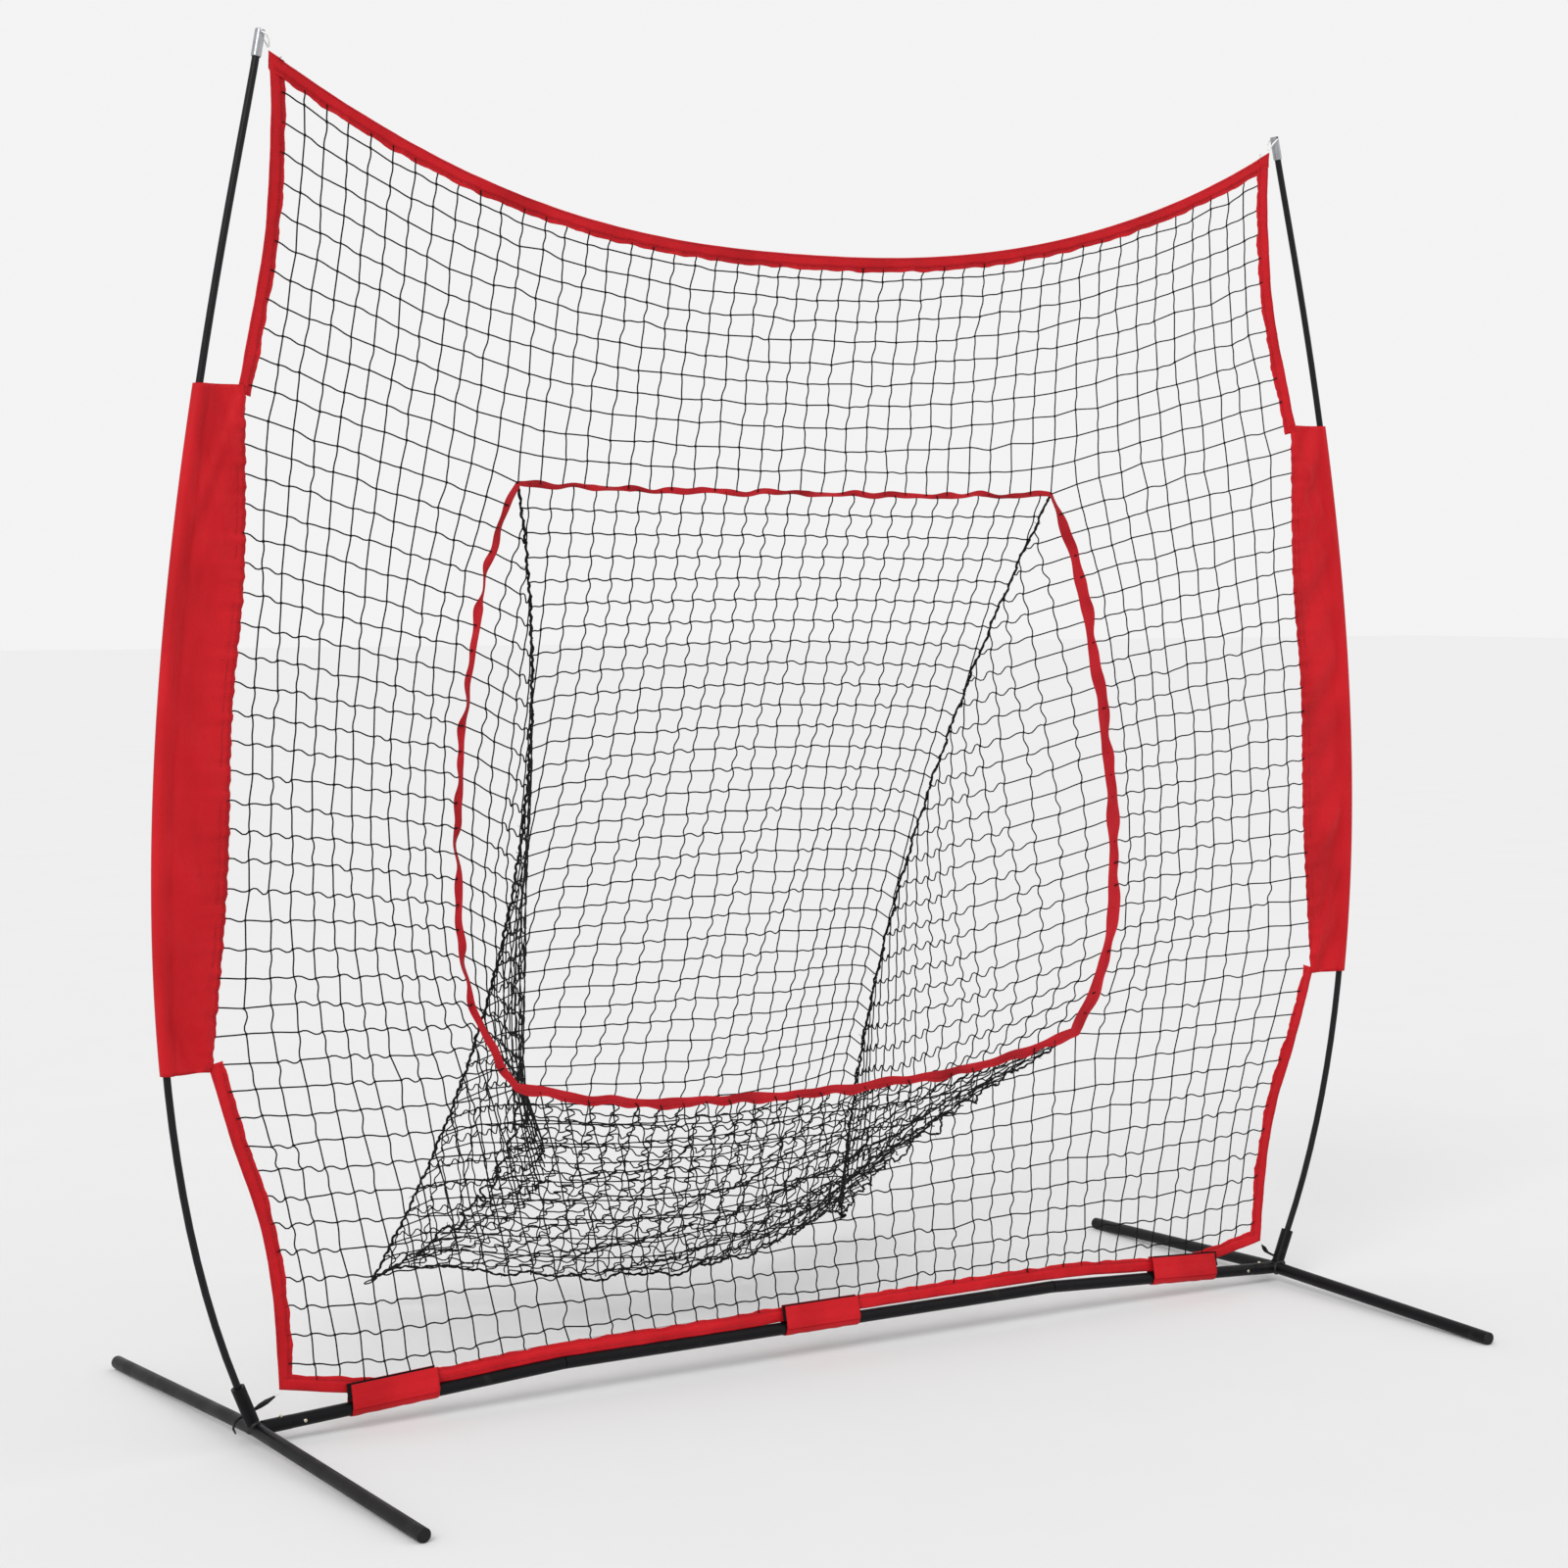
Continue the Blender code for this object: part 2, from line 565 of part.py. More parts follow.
def mouth_outline(count, grow=0.0):
    """Front-view outline of the opening, clockwise from the top middle, moved outward by grow."""
    right = smooth_curve(MOUTH, count // 2 + 1)
    right = offset_inward(right, -grow)
    right[0, 0] = right[-1, 0] = 0.0
    return np.vstack([right, mirror(right[-2:0:-1], -1)])


def build_net_panel():
    """The netting between the borders and the opening, as one thin ring."""
    outer = net_outline(MOUTH_POINTS)
    inner = mouth_outline(MOUTH_POINTS, TRIM_W / 2 + GAP)
    rows = [on_net(outer * (1 - t) + inner * t) for t in (0.0, 0.33, 0.67, 1.0)]
    sheet("net_panel", rows, NET_T, "netting", cyclic=True)


def build_trim():
    """The narrow ribbon round the opening."""
    loops = [on_net(mouth_outline(MOUTH_POINTS, s * TRIM_W / 2)) for s in (1, -1)]
    sheet("opening_trim", loops, FABRIC_T, "fabric", cyclic=True)


# --- Pocket -----------------------------------------------------------------------------

def pocket_seam(side, count=20):
    """The corded seam from an upper corner of the opening to the pocket's tip."""
    corner = on_net([MOUTH[2][0], MOUTH[2][1]])
    tip = np.array(POCKET_TIP)
    s = np.linspace(0, 1, count)[:, None]
    bulge = 4 * s * (1 - s)
    line = corner + (tip - corner) * s - bulge * np.array([SEAM_WAIST, SEAM_SAG, 0.0])
    return line * np.array([side, 1, 1])


def mouth_stretch(start_z, count):
    """The opening's +X side from the given height down to its lower corner, on the net."""
    right = smooth_curve(MOUTH, 200)
    side = right[(right[:, 0] > 0.53) & (right[:, 1] < start_z) & (right[:, 1] > 0.52)]
    return on_net(even(side, count))


def coons(top, bottom, left, right):
    """A smooth surface between four boundary lines, as rows of points."""
    rows, columns = len(left), len(top)
    u = np.linspace(0, 1, columns)[None, :, None]
    v = np.linspace(0, 1, rows)[:, None, None]
    top, bottom, left, right = top[None], bottom[None], left[:, None], right[:, None]
    corners = ((1 - u) * (1 - v) * top[:, :1] + u * (1 - v) * top[:, -1:]
               + (1 - u) * v * bottom[:, :1] + u * v * bottom[:, -1:])
    return (1 - v) * top + v * bottom + (1 - u) * left + u * right - corners


def build_pocket():
    """Back, two gussets and bottom of the pocket, corded seams and the loops at its tips."""
    columns, rows = 13, 12
    u = np.linspace(-1, 1, columns)
    sag = (1 - u ** 2)[:, None]
    inset = 0.982
    seam = even(pocket_seam(1), rows, 0.022, 0.075)
    rear = even(np.array([seam[0] * (-1, 1, 1), seam[0]]), columns)
    rear[:, 1] = net_depth(rear[:, 0], rear[:, 2]) + 0.012
    tip = seam[-1]
    hem = np.stack([u * tip[0], 0 * u + tip[1], 0 * u + tip[2]], 1)
    hem += sag * (np.array([0.0, BELLY[0], BELLY[1]]) - np.array([0.0, tip[1], tip[2]]))
    scale = np.array([inset, 1, 1])
    back = coons(rear * scale, hem * scale, seam * (-inset, 1, 1), seam * (inset, 1, 1))
    sheet("pocket_back", back, POCKET_T, "netting")
    side_line = mouth_stretch(1.44, rows)
    floor_corner = side_line[-1]
    mouth_low = smooth_curve([(-floor_corner[0], floor_corner[2]), (-0.33, 0.472), (0, 0.457), (0.33, 0.472),
                              (floor_corner[0], floor_corner[2])], columns)
    front = on_net(mouth_low) + (0, 0.016, -0.004)
    edge = even(np.array([front[-1], hem[-1]]), rows) * scale
    bottom = coons(front * scale, hem * scale, edge * (-1, 1, 1), edge)
    droop = np.sin(np.linspace(0, pi, rows))[:, None] * (1 - u ** 2)[None]
    bottom[..., 2] -= BELLY_DROP * droop
    bottom += (0, -0.010, -0.010)
    sheet("pocket_bottom", bottom, POCKET_T, "netting")
    for side, word in SIDES:
        start = side_line + (-0.004, 0.008, 0.004)
        finish = seam + (0.010, -0.004, 0.004)
        grid = [[start[i] * (1 - t) + finish[i] * t for t in np.linspace(0, 1, 6)] for i in range(rows)]
        sheet(f"pocket_gusset_{word}", np.array(grid) * (side, 1, 1), POCKET_T, "netting")
        cord = shortened(pocket_seam(side), 0.012, 0.004)
        rod(f"pocket_seam_{word}", cord, SEAM_R, "cord", sides=8)
        end = cord[-1] + (0, 0.0035, -0.0035)
        loop = [end + (side * 0.008 * sin(a), 0.013 * (1 - cos(a)), -0.006 * (1 - cos(a)))
                for a in np.linspace(0, 2 * pi, 12, endpoint=False)]
        rod(f"pocket_loop_{word}", loop, 0.0012, "cord", sides=8, cyclic=True)


# --- Straps -----------------------------------------------------------------------------

def build_strap(x, word):
    """A band round the crossbar and the bottom border, with a front flap that opens downward."""
    ends = [bar_point(x - STRAP_W / 2), bar_point(x + STRAP_W / 2)]
    around = BAR_R + GAP + STRAP_T / 2
    turn = [radians(a) for a in (0, -22.5, -45, -67.5, -90, -112.5, -135, -157.5, -176)]
    section = [(0.0060, FLAP_TOP), (0.0062, 0.0220), (around, 0.0060)]
    section += [(around * cos(a), around * sin(a)) for a in turn]
    grid = [[end + (0, y, z) for end in ends] for y, z in section]
    sheet(f"strap_wrap_{word}", grid, STRAP_T, "fabric")
    pivot = np.array([0.0, HINGE_Y, 0.0])
    lift = 0.0015
    flap = [(0.0, lift), (0.0010, 0.010), (0.0045, 0.022), (FLAP_LEAN, FLAP_TOP)]
    grid = [[end + pivot + (0, y, z) for end in ends] for y, z in flap]
    sheet(f"strap_flap_{word}", grid, STRAP_T, "fabric", origin=(ends[0] + ends[1]) / 2 + pivot)


SIDES = ((-1, "left"), (1, "right"))
clear_scene()
MATERIALS = {
    "steel": material("black_steel", (0.014, 0.014, 0.015), 0.38, 0.0),
    "plastic": material("black_plastic", (0.012, 0.012, 0.012), 0.45),
    "fibreglass": material("fibreglass", (0.012, 0.012, 0.013), 0.28),
    "ferrule": material("ferrule_steel", (0.55, 0.55, 0.56), 0.35, 1.0),
    "aluminium": material("aluminium", (0.72, 0.72, 0.75), 0.32, 1.0),
    "brass": material("snap_metal", (0.70, 0.62, 0.46), 0.30, 1.0),
    "spring": material("spring_steel", (0.42, 0.42, 0.44), 0.35, 1.0),
    "elastic": material("white_elastic", (0.85, 0.85, 0.83), 0.70),
    "fabric": material("red_nylon", (0.50, 0.012, 0.018), 0.55),
    "netting": material("black_netting", (0.02, 0.02, 0.022), 0.75),
    "cord": material("black_cord", (0.016, 0.016, 0.018), 0.80),
}
NET_FRAME = bpy.data.objects.new("net_frame", None)
NET_FRAME.location = (0.0, FRAME_Y, 0.0)
bpy.context.scene.collection.objects.link(NET_FRAME)

for the_side, the_word in SIDES:
    build_foot(the_side, the_word)
    build_crossbar_end(the_side, the_word)
    build_pole(the_side, the_word)
    build_corner_ties(the_side, the_word)
    build_sleeve(the_side, the_word)
build_crossbar_middle()
build_borders()
build_net_panel()
build_trim()
build_pocket()
for strap_x, strap_word in zip(STRAP_X, STRAP_NAMES):
    build_strap(strap_x, strap_word)
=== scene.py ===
"""Looks of the pitching target net: twine netting, sewn nylon, cords and the finish of every part.

Metres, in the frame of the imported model: +X along the crossbar, +Y towards the pocket, +Z up.
The net hangs in the plane y = NET_Y. A front-view point is (x, z) in that plane.
"""
from itertools import combinations
from math import cos, pi, radians, sin

import bpy
import numpy as np
from mathutils import Matrix, Vector


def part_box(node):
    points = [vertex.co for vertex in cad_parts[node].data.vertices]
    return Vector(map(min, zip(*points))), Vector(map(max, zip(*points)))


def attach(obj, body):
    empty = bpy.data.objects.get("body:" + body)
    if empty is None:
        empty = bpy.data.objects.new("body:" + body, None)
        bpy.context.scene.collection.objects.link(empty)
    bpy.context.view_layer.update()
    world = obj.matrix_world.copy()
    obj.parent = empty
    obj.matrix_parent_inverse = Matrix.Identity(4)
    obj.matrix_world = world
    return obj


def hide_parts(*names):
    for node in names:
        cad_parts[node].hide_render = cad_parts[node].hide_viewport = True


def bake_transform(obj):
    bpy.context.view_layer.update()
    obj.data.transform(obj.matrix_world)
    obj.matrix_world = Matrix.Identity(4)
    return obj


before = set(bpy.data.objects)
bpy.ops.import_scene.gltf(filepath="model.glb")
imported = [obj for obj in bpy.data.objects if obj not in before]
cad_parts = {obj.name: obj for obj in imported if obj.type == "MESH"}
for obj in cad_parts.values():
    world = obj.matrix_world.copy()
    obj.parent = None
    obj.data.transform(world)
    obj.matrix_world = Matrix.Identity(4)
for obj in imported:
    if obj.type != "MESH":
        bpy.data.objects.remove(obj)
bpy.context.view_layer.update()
NET_Y = sum(corner.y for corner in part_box("pole_socket_left")) / 2
RNG = np.random.default_rng(11)
SIDES = ((-1, "left"), (1, "right"))

# Outlines of the front view, as in the CAD
BORDER_W = 0.0245
TOP_CORNER = (0.982, 2.104)
TOP_MIDDLE_Z = 1.867
TOP_POWER = 2.37
UPPER_EDGE = (TOP_CORNER, (0.980, 2.000), (0.993, 1.829), (1.030, 1.655), (1.041, 1.6095))
LOWER_EDGE = ((1.098, 0.5815), (1.064, 0.470), (1.0205, 0.345), (0.998, 0.225), (0.988, 0.083))
BOTTOM_EDGE = (LOWER_EDGE[-1], (0.872, 0.0615), (0.797, 0.0540), (0.680, 0.0605),
               (0.490, 0.0705), (0.0, 0.0700))
SLEEVE_EDGE = ((1.031, 1.608), (1.037, 1.330), (1.059, 1.120), (1.070, 0.860), (1.096, 0.583))
MOUTH = ((0.000, 1.468), (0.300, 1.468), (0.535, 1.474), (0.592, 1.344), (0.642, 1.094),
         (0.661, 0.860), (0.643, 0.655), (0.566, 0.506), (0.330, 0.460), (0.000, 0.445))
MOUTH_UPPER = MOUTH[2]
MOUTH_LOWER = MOUTH[7]
POLE_FOOT_Z = 0.0961
POLE_TOP_Z = 2.128
POLE_FORWARD = 0.018
POLE_LEAN = radians(22.1)
FOOT_TOE = radians(1.3)
BAR_SLOPE = 0.0545

# How the net bellies backward from the poles: half width, middle height, half height, depth
NET_HALF_WIDTH = 1.04
NET_MIDDLE_Z = 1.10
NET_HALF_HEIGHT = 1.03
NET_BELLY = 0.055
NET_BELLY_RISE = 0.05

# Netting: cells before, over and after the opening; the cut cells at the top and bottom are short
MESH = 0.0435
TWINE_R = 0.00128
TWINE_SIDES = 5
TWINE_STEPS = 6
KNOT_R = 0.0026
COLUMNS = (12, 25, 11)
ROWS = (11, 25, 10)
EDGE_CELL = 0.6

# Pocket: tip and curves of its seams, and the cells in each panel
POCKET_TIP = (0.509, 0.700, 0.060)
SEAM_WAIST = 0.115
SEAM_SAG = 0.035
BELLY_FORWARD = 0.200
BELLY_Z = 0.049
BELLY_DROP = 0.014
FOLD_INWARD = 0.085
BACK_ROWS = 38
GUSSET_TIP = (24, 30)
BOTTOM_ROWS = 19
BOTTOM_COLUMNS = 27
GRID = 61

# Sewing
THREAD = (0.0003, 0.00045, 0.0003)
STITCH_SHARE = 0.66


# --- Lines and surfaces -----------------------------------------------------------------

def unit(vectors):
    """The same vectors at length one."""
    vectors = np.asarray(vectors, float)
    return vectors / np.maximum(np.linalg.norm(vectors, axis=-1, keepdims=True), 1e-12)


def stops_along(line):
    """The length along a line at each of its points."""
    return np.concatenate([[0], np.cumsum(np.linalg.norm(np.diff(line, axis=0), axis=1))])


def even(line, count, start=0.0):
    """The same line with evenly spaced points, from a length along it."""
    line = np.array(line, float)
    return at_length(line, np.linspace(start, stops_along(line)[-1], count))


def at_length(line, stops):
    """The points of a line at the given lengths along it."""
    length = stops_along(line)
    return np.stack([np.interp(stops, length, column) for column in line.T], 1)


def line_length(line):
    """The length of a line of points."""
    return float(np.linalg.norm(np.diff(line, axis=0), axis=1).sum())


def smooth_curve(points, count):
    """A Catmull-Rom curve through the points, sampled evenly by length."""
    points = np.array(points, float)
    padded = np.vstack([2 * points[0] - points[1], points, 2 * points[-1] - points[-2]])
    fine = []
    for p0, p1, p2, p3 in zip(padded, padded[1:], padded[2:], padded[3:]):
        t = np.linspace(0, 1, 16, endpoint=False)[:, None]
        fine.append(0.5 * (2 * p1 + (p2 - p0) * t + (2 * p0 - 5 * p1 + 4 * p2 - p3) * t ** 2
                           + (3 * p1 - p0 - 3 * p2 + p3) * t ** 3))
    return even(np.vstack([*fine, points[-1:]]), count)


def bow_forward(z):
    """How far the bent poles stand in front of the net plane at a height."""
    t = np.clip((z - POLE_FOOT_Z) / (POLE_TOP_Z - POLE_FOOT_Z), 0, 1)
    return -POLE_FORWARD * 4 * t * (1 - t)


def net_depth(x, z):
    """The net's distance behind the net plane."""
    across = np.clip(1 - (x / NET_HALF_WIDTH) ** 2, 0, 1)
    up = np.clip(1 - ((z - NET_MIDDLE_Z) / NET_HALF_HEIGHT) ** 2, 0, 1)
    return bow_forward(z) + across * up * (NET_BELLY + NET_BELLY_RISE * z)


def on_net(flat):
    """Front-view points laid on the net's surface."""
    flat = np.array(flat, float)
    x, z = flat[..., 0], flat[..., 1]
    return np.stack([x, NET_Y + net_depth(x, z), z], -1)


def rightward(line):
    """Unit vectors to the right of a front-view line as it runs."""
    along = unit(np.gradient(line, axis=0))
    return np.stack([along[:, 1], -along[:, 0]], 1)


def offset_inward(line, distance):
    """A front-view line moved sideways, to its right as it runs."""
    return line + distance * rightward(line)


def mirror(line, side):
    """The line on the given side of the middle."""
    return np.array(line, float) * np.array([side] + [1] * (len(line[0]) - 1))


def ripple(s, wavelengths, seed):
    """A smooth wavering between about -1 and 1 along a length, from a few waves."""
    rng = np.random.default_rng(seed)
    total = 0.0
    for wavelength in wavelengths:
        total = total + np.sin(2 * pi * (s / wavelength + rng.random()))
    return total / len(wavelengths) ** 0.5


# --- Scene ------------------------------------------------------------------------------

def new_object(name, data):
    """A new object, linked to the scene."""
    made = bpy.data.objects.new(name, data)
    bpy.context.scene.collection.objects.link(made)
    return made


def add_camera():
    """The main view: from the front left, at a little above half height."""
    data = bpy.data.cameras.new("camera")
    data.lens = 69.46
    data.sensor_width = 36.0
    data.clip_end = 200.0
    camera = new_object("camera", data)
    turn = Matrix.Rotation(radians(-32.52), 4, "Z") @ Matrix.Rotation(radians(86.34), 4, "X")
    camera.matrix_world = Matrix.Translation((-2.787, -4.340, 1.3025)) @ turn
    bpy.context.scene.camera = camera


def add_sun(name, direction, strength, spread):
    """A distant soft light that shines along a direction."""
    data = bpy.data.lights.new(name, "SUN")
    data.energy = strength
    data.angle = radians(spread)
    new_object(name, data).rotation_euler = Vector(direction).to_track_quat("-Z", "Y").to_euler()


def add_studio():
    """A pale floor, a white surround and soft lights."""
    world = bpy.data.worlds.new("studio")
    world.use_nodes = True
    surround = world.node_tree.nodes["Background"].inputs
    surround["Color"].default_value = (1.0, 1.0, 1.0, 1.0)
    surround["Strength"].default_value = 0.90
    bpy.context.scene.world = world
    bpy.context.scene.view_settings.view_transform = "Standard"
    add_sun("key", (0.75, 0.60, -0.80), 1.60, 25)
    add_sun("fill", (-0.8, 0.35, -0.5), 0.25, 60)
    mesh = bpy.data.meshes.new("floor")
    half = 60.0
    corners = [(-half, -half, 0), (half, -half, 0), (half, half, 0), (-half, half, 0)]
    mesh.from_pydata(corners, [], [(0, 1, 2, 3)])
    mesh.materials.append(pale_floor())
    new_object("floor", mesh)


# --- Materials --------------------------------------------------------------------------

class Shader:
    """A material's node tree, with the few node patterns that the finishes share."""

    def __init__(self, name):
        self.material = bpy.data.materials.new(name)
        self.material.use_nodes = True
        self.tree = self.material.node_tree
        self.base = self.tree.nodes["Principled BSDF"]
        self.place = self.node("ShaderNodeTexCoord").outputs["Object"]

    def node(self, kind, **settings):
        """A new node with its settings."""
        made = self.tree.nodes.new(kind)
        for key, value in settings.items():
            setattr(made, key, value)
        return made

    def join(self, output, target):
        """Connect an output to an input."""
        self.tree.links.new(output, target)

    def noise(self, scale, detail=3.0, stretch=(1, 1, 1)):
        """Noise between 0 and 1 over the object's place."""
        mapping = self.node("ShaderNodeMapping")
        mapping.inputs["Scale"].default_value = stretch
        self.join(self.place, mapping.inputs["Vector"])
        made = self.node("ShaderNodeTexNoise")
        made.inputs["Scale"].default_value = scale
        made.inputs["Detail"].default_value = detail
        self.join(mapping.outputs["Vector"], made.inputs["Vector"])
        return made.outputs["Fac"]

    def wave(self, direction, wavelength, distortion=0.0):
        """Parallel bands of a wavelength in metres."""
        made = self.node("ShaderNodeTexWave", bands_direction=direction)
        made.inputs["Scale"].default_value = 0.314 / wavelength
        made.inputs["Distortion"].default_value = distortion
        self.join(self.place, made.inputs["Vector"])
        return made.outputs["Fac"]

    def between(self, value, low, high, out_low=0.0, out_high=1.0):
        """The value stretched from one range to another and clamped."""
        made = self.node("ShaderNodeMapRange")
        ends = {"From Min": low, "From Max": high, "To Min": out_low, "To Max": out_high}
        for key, number in ends.items():
            made.inputs[key].default_value = number
        self.join(value, made.inputs["Value"])
        return made.outputs["Result"]

    def weave(self, thread, distortion=0.0):
        """Threads of a width that cross in X and Z."""
        made = self.node("ShaderNodeMath", operation="MULTIPLY")
        for direction, target in zip("XZ", made.inputs):
            self.join(self.wave(direction, thread, distortion), target)
        return made.outputs["Value"]

    def colour(self, dark, light, factor):
        """Base colour that runs from dark to light with a factor."""
        ramp = self.node("ShaderNodeValToRGB")
        ramp.color_ramp.elements[0].color = (*dark, 1.0)
        ramp.color_ramp.elements[1].color = (*light, 1.0)
        self.join(factor, ramp.inputs["Fac"])
        self.join(ramp.outputs["Color"], self.base.inputs["Base Color"])

    def roughness(self, low, high, factor):
        """Roughness that runs from low to high with a factor."""
        self.join(self.between(factor, 0.25, 0.75, low, high), self.base.inputs["Roughness"])

    def bump(self, height, depth, strength=1.0):
        """Surface relief of a depth in metres."""
        last = self.base.inputs["Normal"]
        made = self.node("ShaderNodeBump")
        made.inputs["Strength"].default_value = strength
        made.inputs["Distance"].default_value = depth
        if last.is_linked:
            self.join(last.links[0].from_socket, made.inputs["Normal"])
        self.join(height, made.inputs["Height"])
        self.join(made.outputs["Normal"], last)

    def constant(self, **values):
        """Plain numbers on the shader's own sockets."""
        for key, value in values.items():
            self.base.inputs[key.replace("_", " ")].default_value = value


def pale_floor():
    """Matt off-white paper."""
    shader = Shader("studio_paper")
    shader.colour((0.67, 0.67, 0.67), (0.69, 0.69, 0.69), shader.noise(3.0))
    shader.constant(Roughness=0.95, Specular_IOR_Level=0.0)
    return shader.material


def mottled(name, dark, light, shade, rough, relief, patches=None, **sockets):
    """A finish made of three noises: its colour, its roughness and its relief.

    shade is (scale, detail), rough is (low, high, scale, detail) and relief is
    (depth, strength, scale, detail). A stretch of the noise may follow each.
    patches is the range of the colour's noise that runs from dark to light.
    """
    shader = Shader(name)
    shades = shader.noise(*shade)
    shader.colour(dark, light, shader.between(shades, *patches) if patches else shades)
    shader.roughness(*rough[:2], shader.noise(*rough[2:]))
    shader.bump(shader.noise(*relief[2:]), *relief[:2])
    shader.constant(**sockets)
    return shader.material


def plated_metal(name, dark, light):
    """Bright plating with handling marks."""
    return mottled(name, dark, light, (240, 5), (0.20, 0.45, 180, 4), (0.00005, 0.6, 1500, 3), Metallic=1.0)


def red_nylon(name, dark, light, thread=0.0009):
    """Plain-woven nylon: crossed threads, a soft sheen and slow changes of shade."""
    shader = Shader(name)
    slow = shader.noise(9.0, 6.0, (1, 1, 0.5))
    shader.colour(dark, light, shader.between(slow, 0.30, 0.58))
    shader.roughness(0.46, 0.62, shader.noise(30.0, 4.0))
    shader.bump(shader.weave(thread), 0.00022, 0.7)
    shader.bump(shader.noise(16.0, 5.0, (1, 1, 0.35)), 0.008, 0.5)
    shader.bump(shader.noise(90.0, 4.0), 0.0016, 0.30)
    shader.constant(Specular_IOR_Level=0.18)
    return shader.material


def bound_cord():
    """Black seam cord wrapped with thread."""
    shader = Shader("bound_cord")
    shader.colour((0.002, 0.002, 0.002), (0.009, 0.009, 0.010), shader.noise(240.0, 4.0))
    shader.roughness(0.60, 0.85, shader.noise(120.0, 3.0))
    shader.bump(shader.wave("Z", 0.0016, 2.0), 0.0005, 0.8)
    shader.constant(Specular_IOR_Level=0.12)
    return shader.material


def white_elastic():
    """Braided white shock cord, slightly soiled."""
    shader = Shader("white_elastic")
    soiled = shader.between(shader.noise(120.0, 4.0), 0.3, 0.6)
    shader.colour((0.60, 0.59, 0.56), (0.86, 0.86, 0.84), soiled)
    shader.roughness(0.55, 0.75, shader.noise(90.0, 3.0))
    shader.bump(shader.weave(0.0011, 1.0), 0.0003, 0.8)
    return shader.material


def hook_and_loop():
    """Black hook-and-loop tape: a fuzzy pile."""
    shader = Shader("hook_and_loop")
    shader.colour((0.003, 0.003, 0.003), (0.016, 0.016, 0.017), shader.noise(900.0, 4.0))
    shader.bump(shader.noise(1500.0, 4.0), 0.0012, 1.0)
    shader.constant(Roughness=0.95, Specular_IOR_Level=0.05)
    return shader.material


# --- Mesh building ----------------------------------------------------------------------

def add_piece(name, verts, faces, finish, slot, body="frame", stands_for=()):
    """A named mesh that stands for CAD nodes and rides on a body, when one is given."""
    mesh = bpy.data.meshes.new(name)
    mesh.from_pydata(np.asarray(verts).tolist(), [], [tuple(int(k) for k in face) for face in faces])
    mesh.materials.append(FINISHES[finish])
    mesh.shade_smooth()
    mesh.update()
    piece = new_object(name, mesh)
    if body:
        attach(piece, body)
    if stands_for:
        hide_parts(*stands_for)
    return piece


class Bundle:
    """Many tubes and knots gathered into one mesh."""

    def __init__(self):
        self.verts = []
        self.faces = []
        self.count = 0

    def add(self, verts, faces):
        """Append vertices and the faces that index them."""
        self.verts.append(np.asarray(verts, float).reshape(-1, 3))
        self.faces += [tuple(k + self.count for k in face) for face in faces]
        self.count += len(self.verts[-1])

    def tube(self, points, hint, radius, sides=TWINE_SIDES, closed=False):
        """A round tube along points; hint is a direction that the line never follows."""
        points = np.asarray(points, float)
        if closed:
            along = unit(np.roll(points, -1, 0) - np.roll(points, 1, 0))
        else:
            along = unit(np.gradient(points, axis=0))
        u = unit(np.cross(along, np.broadcast_to(hint, along.shape)))
        v = np.cross(along, u)
        turn = np.arange(sides) * 2 * pi / sides
        ring = np.cos(turn)[None, :, None] * u[:, None] + np.sin(turn)[None, :, None] * v[:, None]
        radius = np.broadcast_to(np.asarray(radius, float), len(points))
        verts = points[:, None] + radius[:, None, None] * ring
        self.add(verts, tube_faces(len(points), sides, closed))

    def knot(self, point, size):
        """A small lump where two twines cross."""
        verts = KNOT_VERTS * np.array([1.0, 0.8, 1.0]) * size
        self.add(verts + point, KNOT_FACES)

    def piece(self, name, finish, slot, **facts):
        """The gathered mesh as a piece."""
        return add_piece(name, np.vstack(self.verts), self.faces, finish, slot, **facts)


def tube_faces(count, sides, closed=False):
    """Quads of a tube, with its ends filled when it isn't closed."""
    faces = []
    for i in range(count if closed else count - 1):
        a, b = i * sides, (i + 1) % count * sides
        faces += [(a + k, a + (k + 1) % sides, b + (k + 1) % sides, b + k) for k in range(sides)]
    if not closed:
        faces += [tuple(range(sides))[::-1], tuple(range((count - 1) * sides, count * sides))]
    return faces


def knot_shape():
    """Vertices and faces of an icosahedron of radius one."""
    g = (1 + 5 ** 0.5) / 2
    verts = unit([v for a in (-1, 1) for b in (-g, g) for v in ((0, a, b), (a, b, 0), (b, 0, a))])
    faces = []
    for i, j, k in combinations(range(12), 3):
        p, q, r = verts[i], verts[j], verts[k]
        if np.linalg.norm([p - q, q - r, r - p], axis=1).max() < 1.06:
            faces.append((i, j, k) if np.dot(np.cross(q - p, r - p), p) > 0 else (i, k, j))
    return verts, faces


def loft(loops, closed_path=False):
    """Vertices and faces of closed loops joined in order, ends filled unless the path closes."""
    verts = np.array(loops, float)
    return verts.reshape(-1, 3), tube_faces(len(verts), verts.shape[1], closed_path)


# --- Netting ----------------------------------------------------------------------------

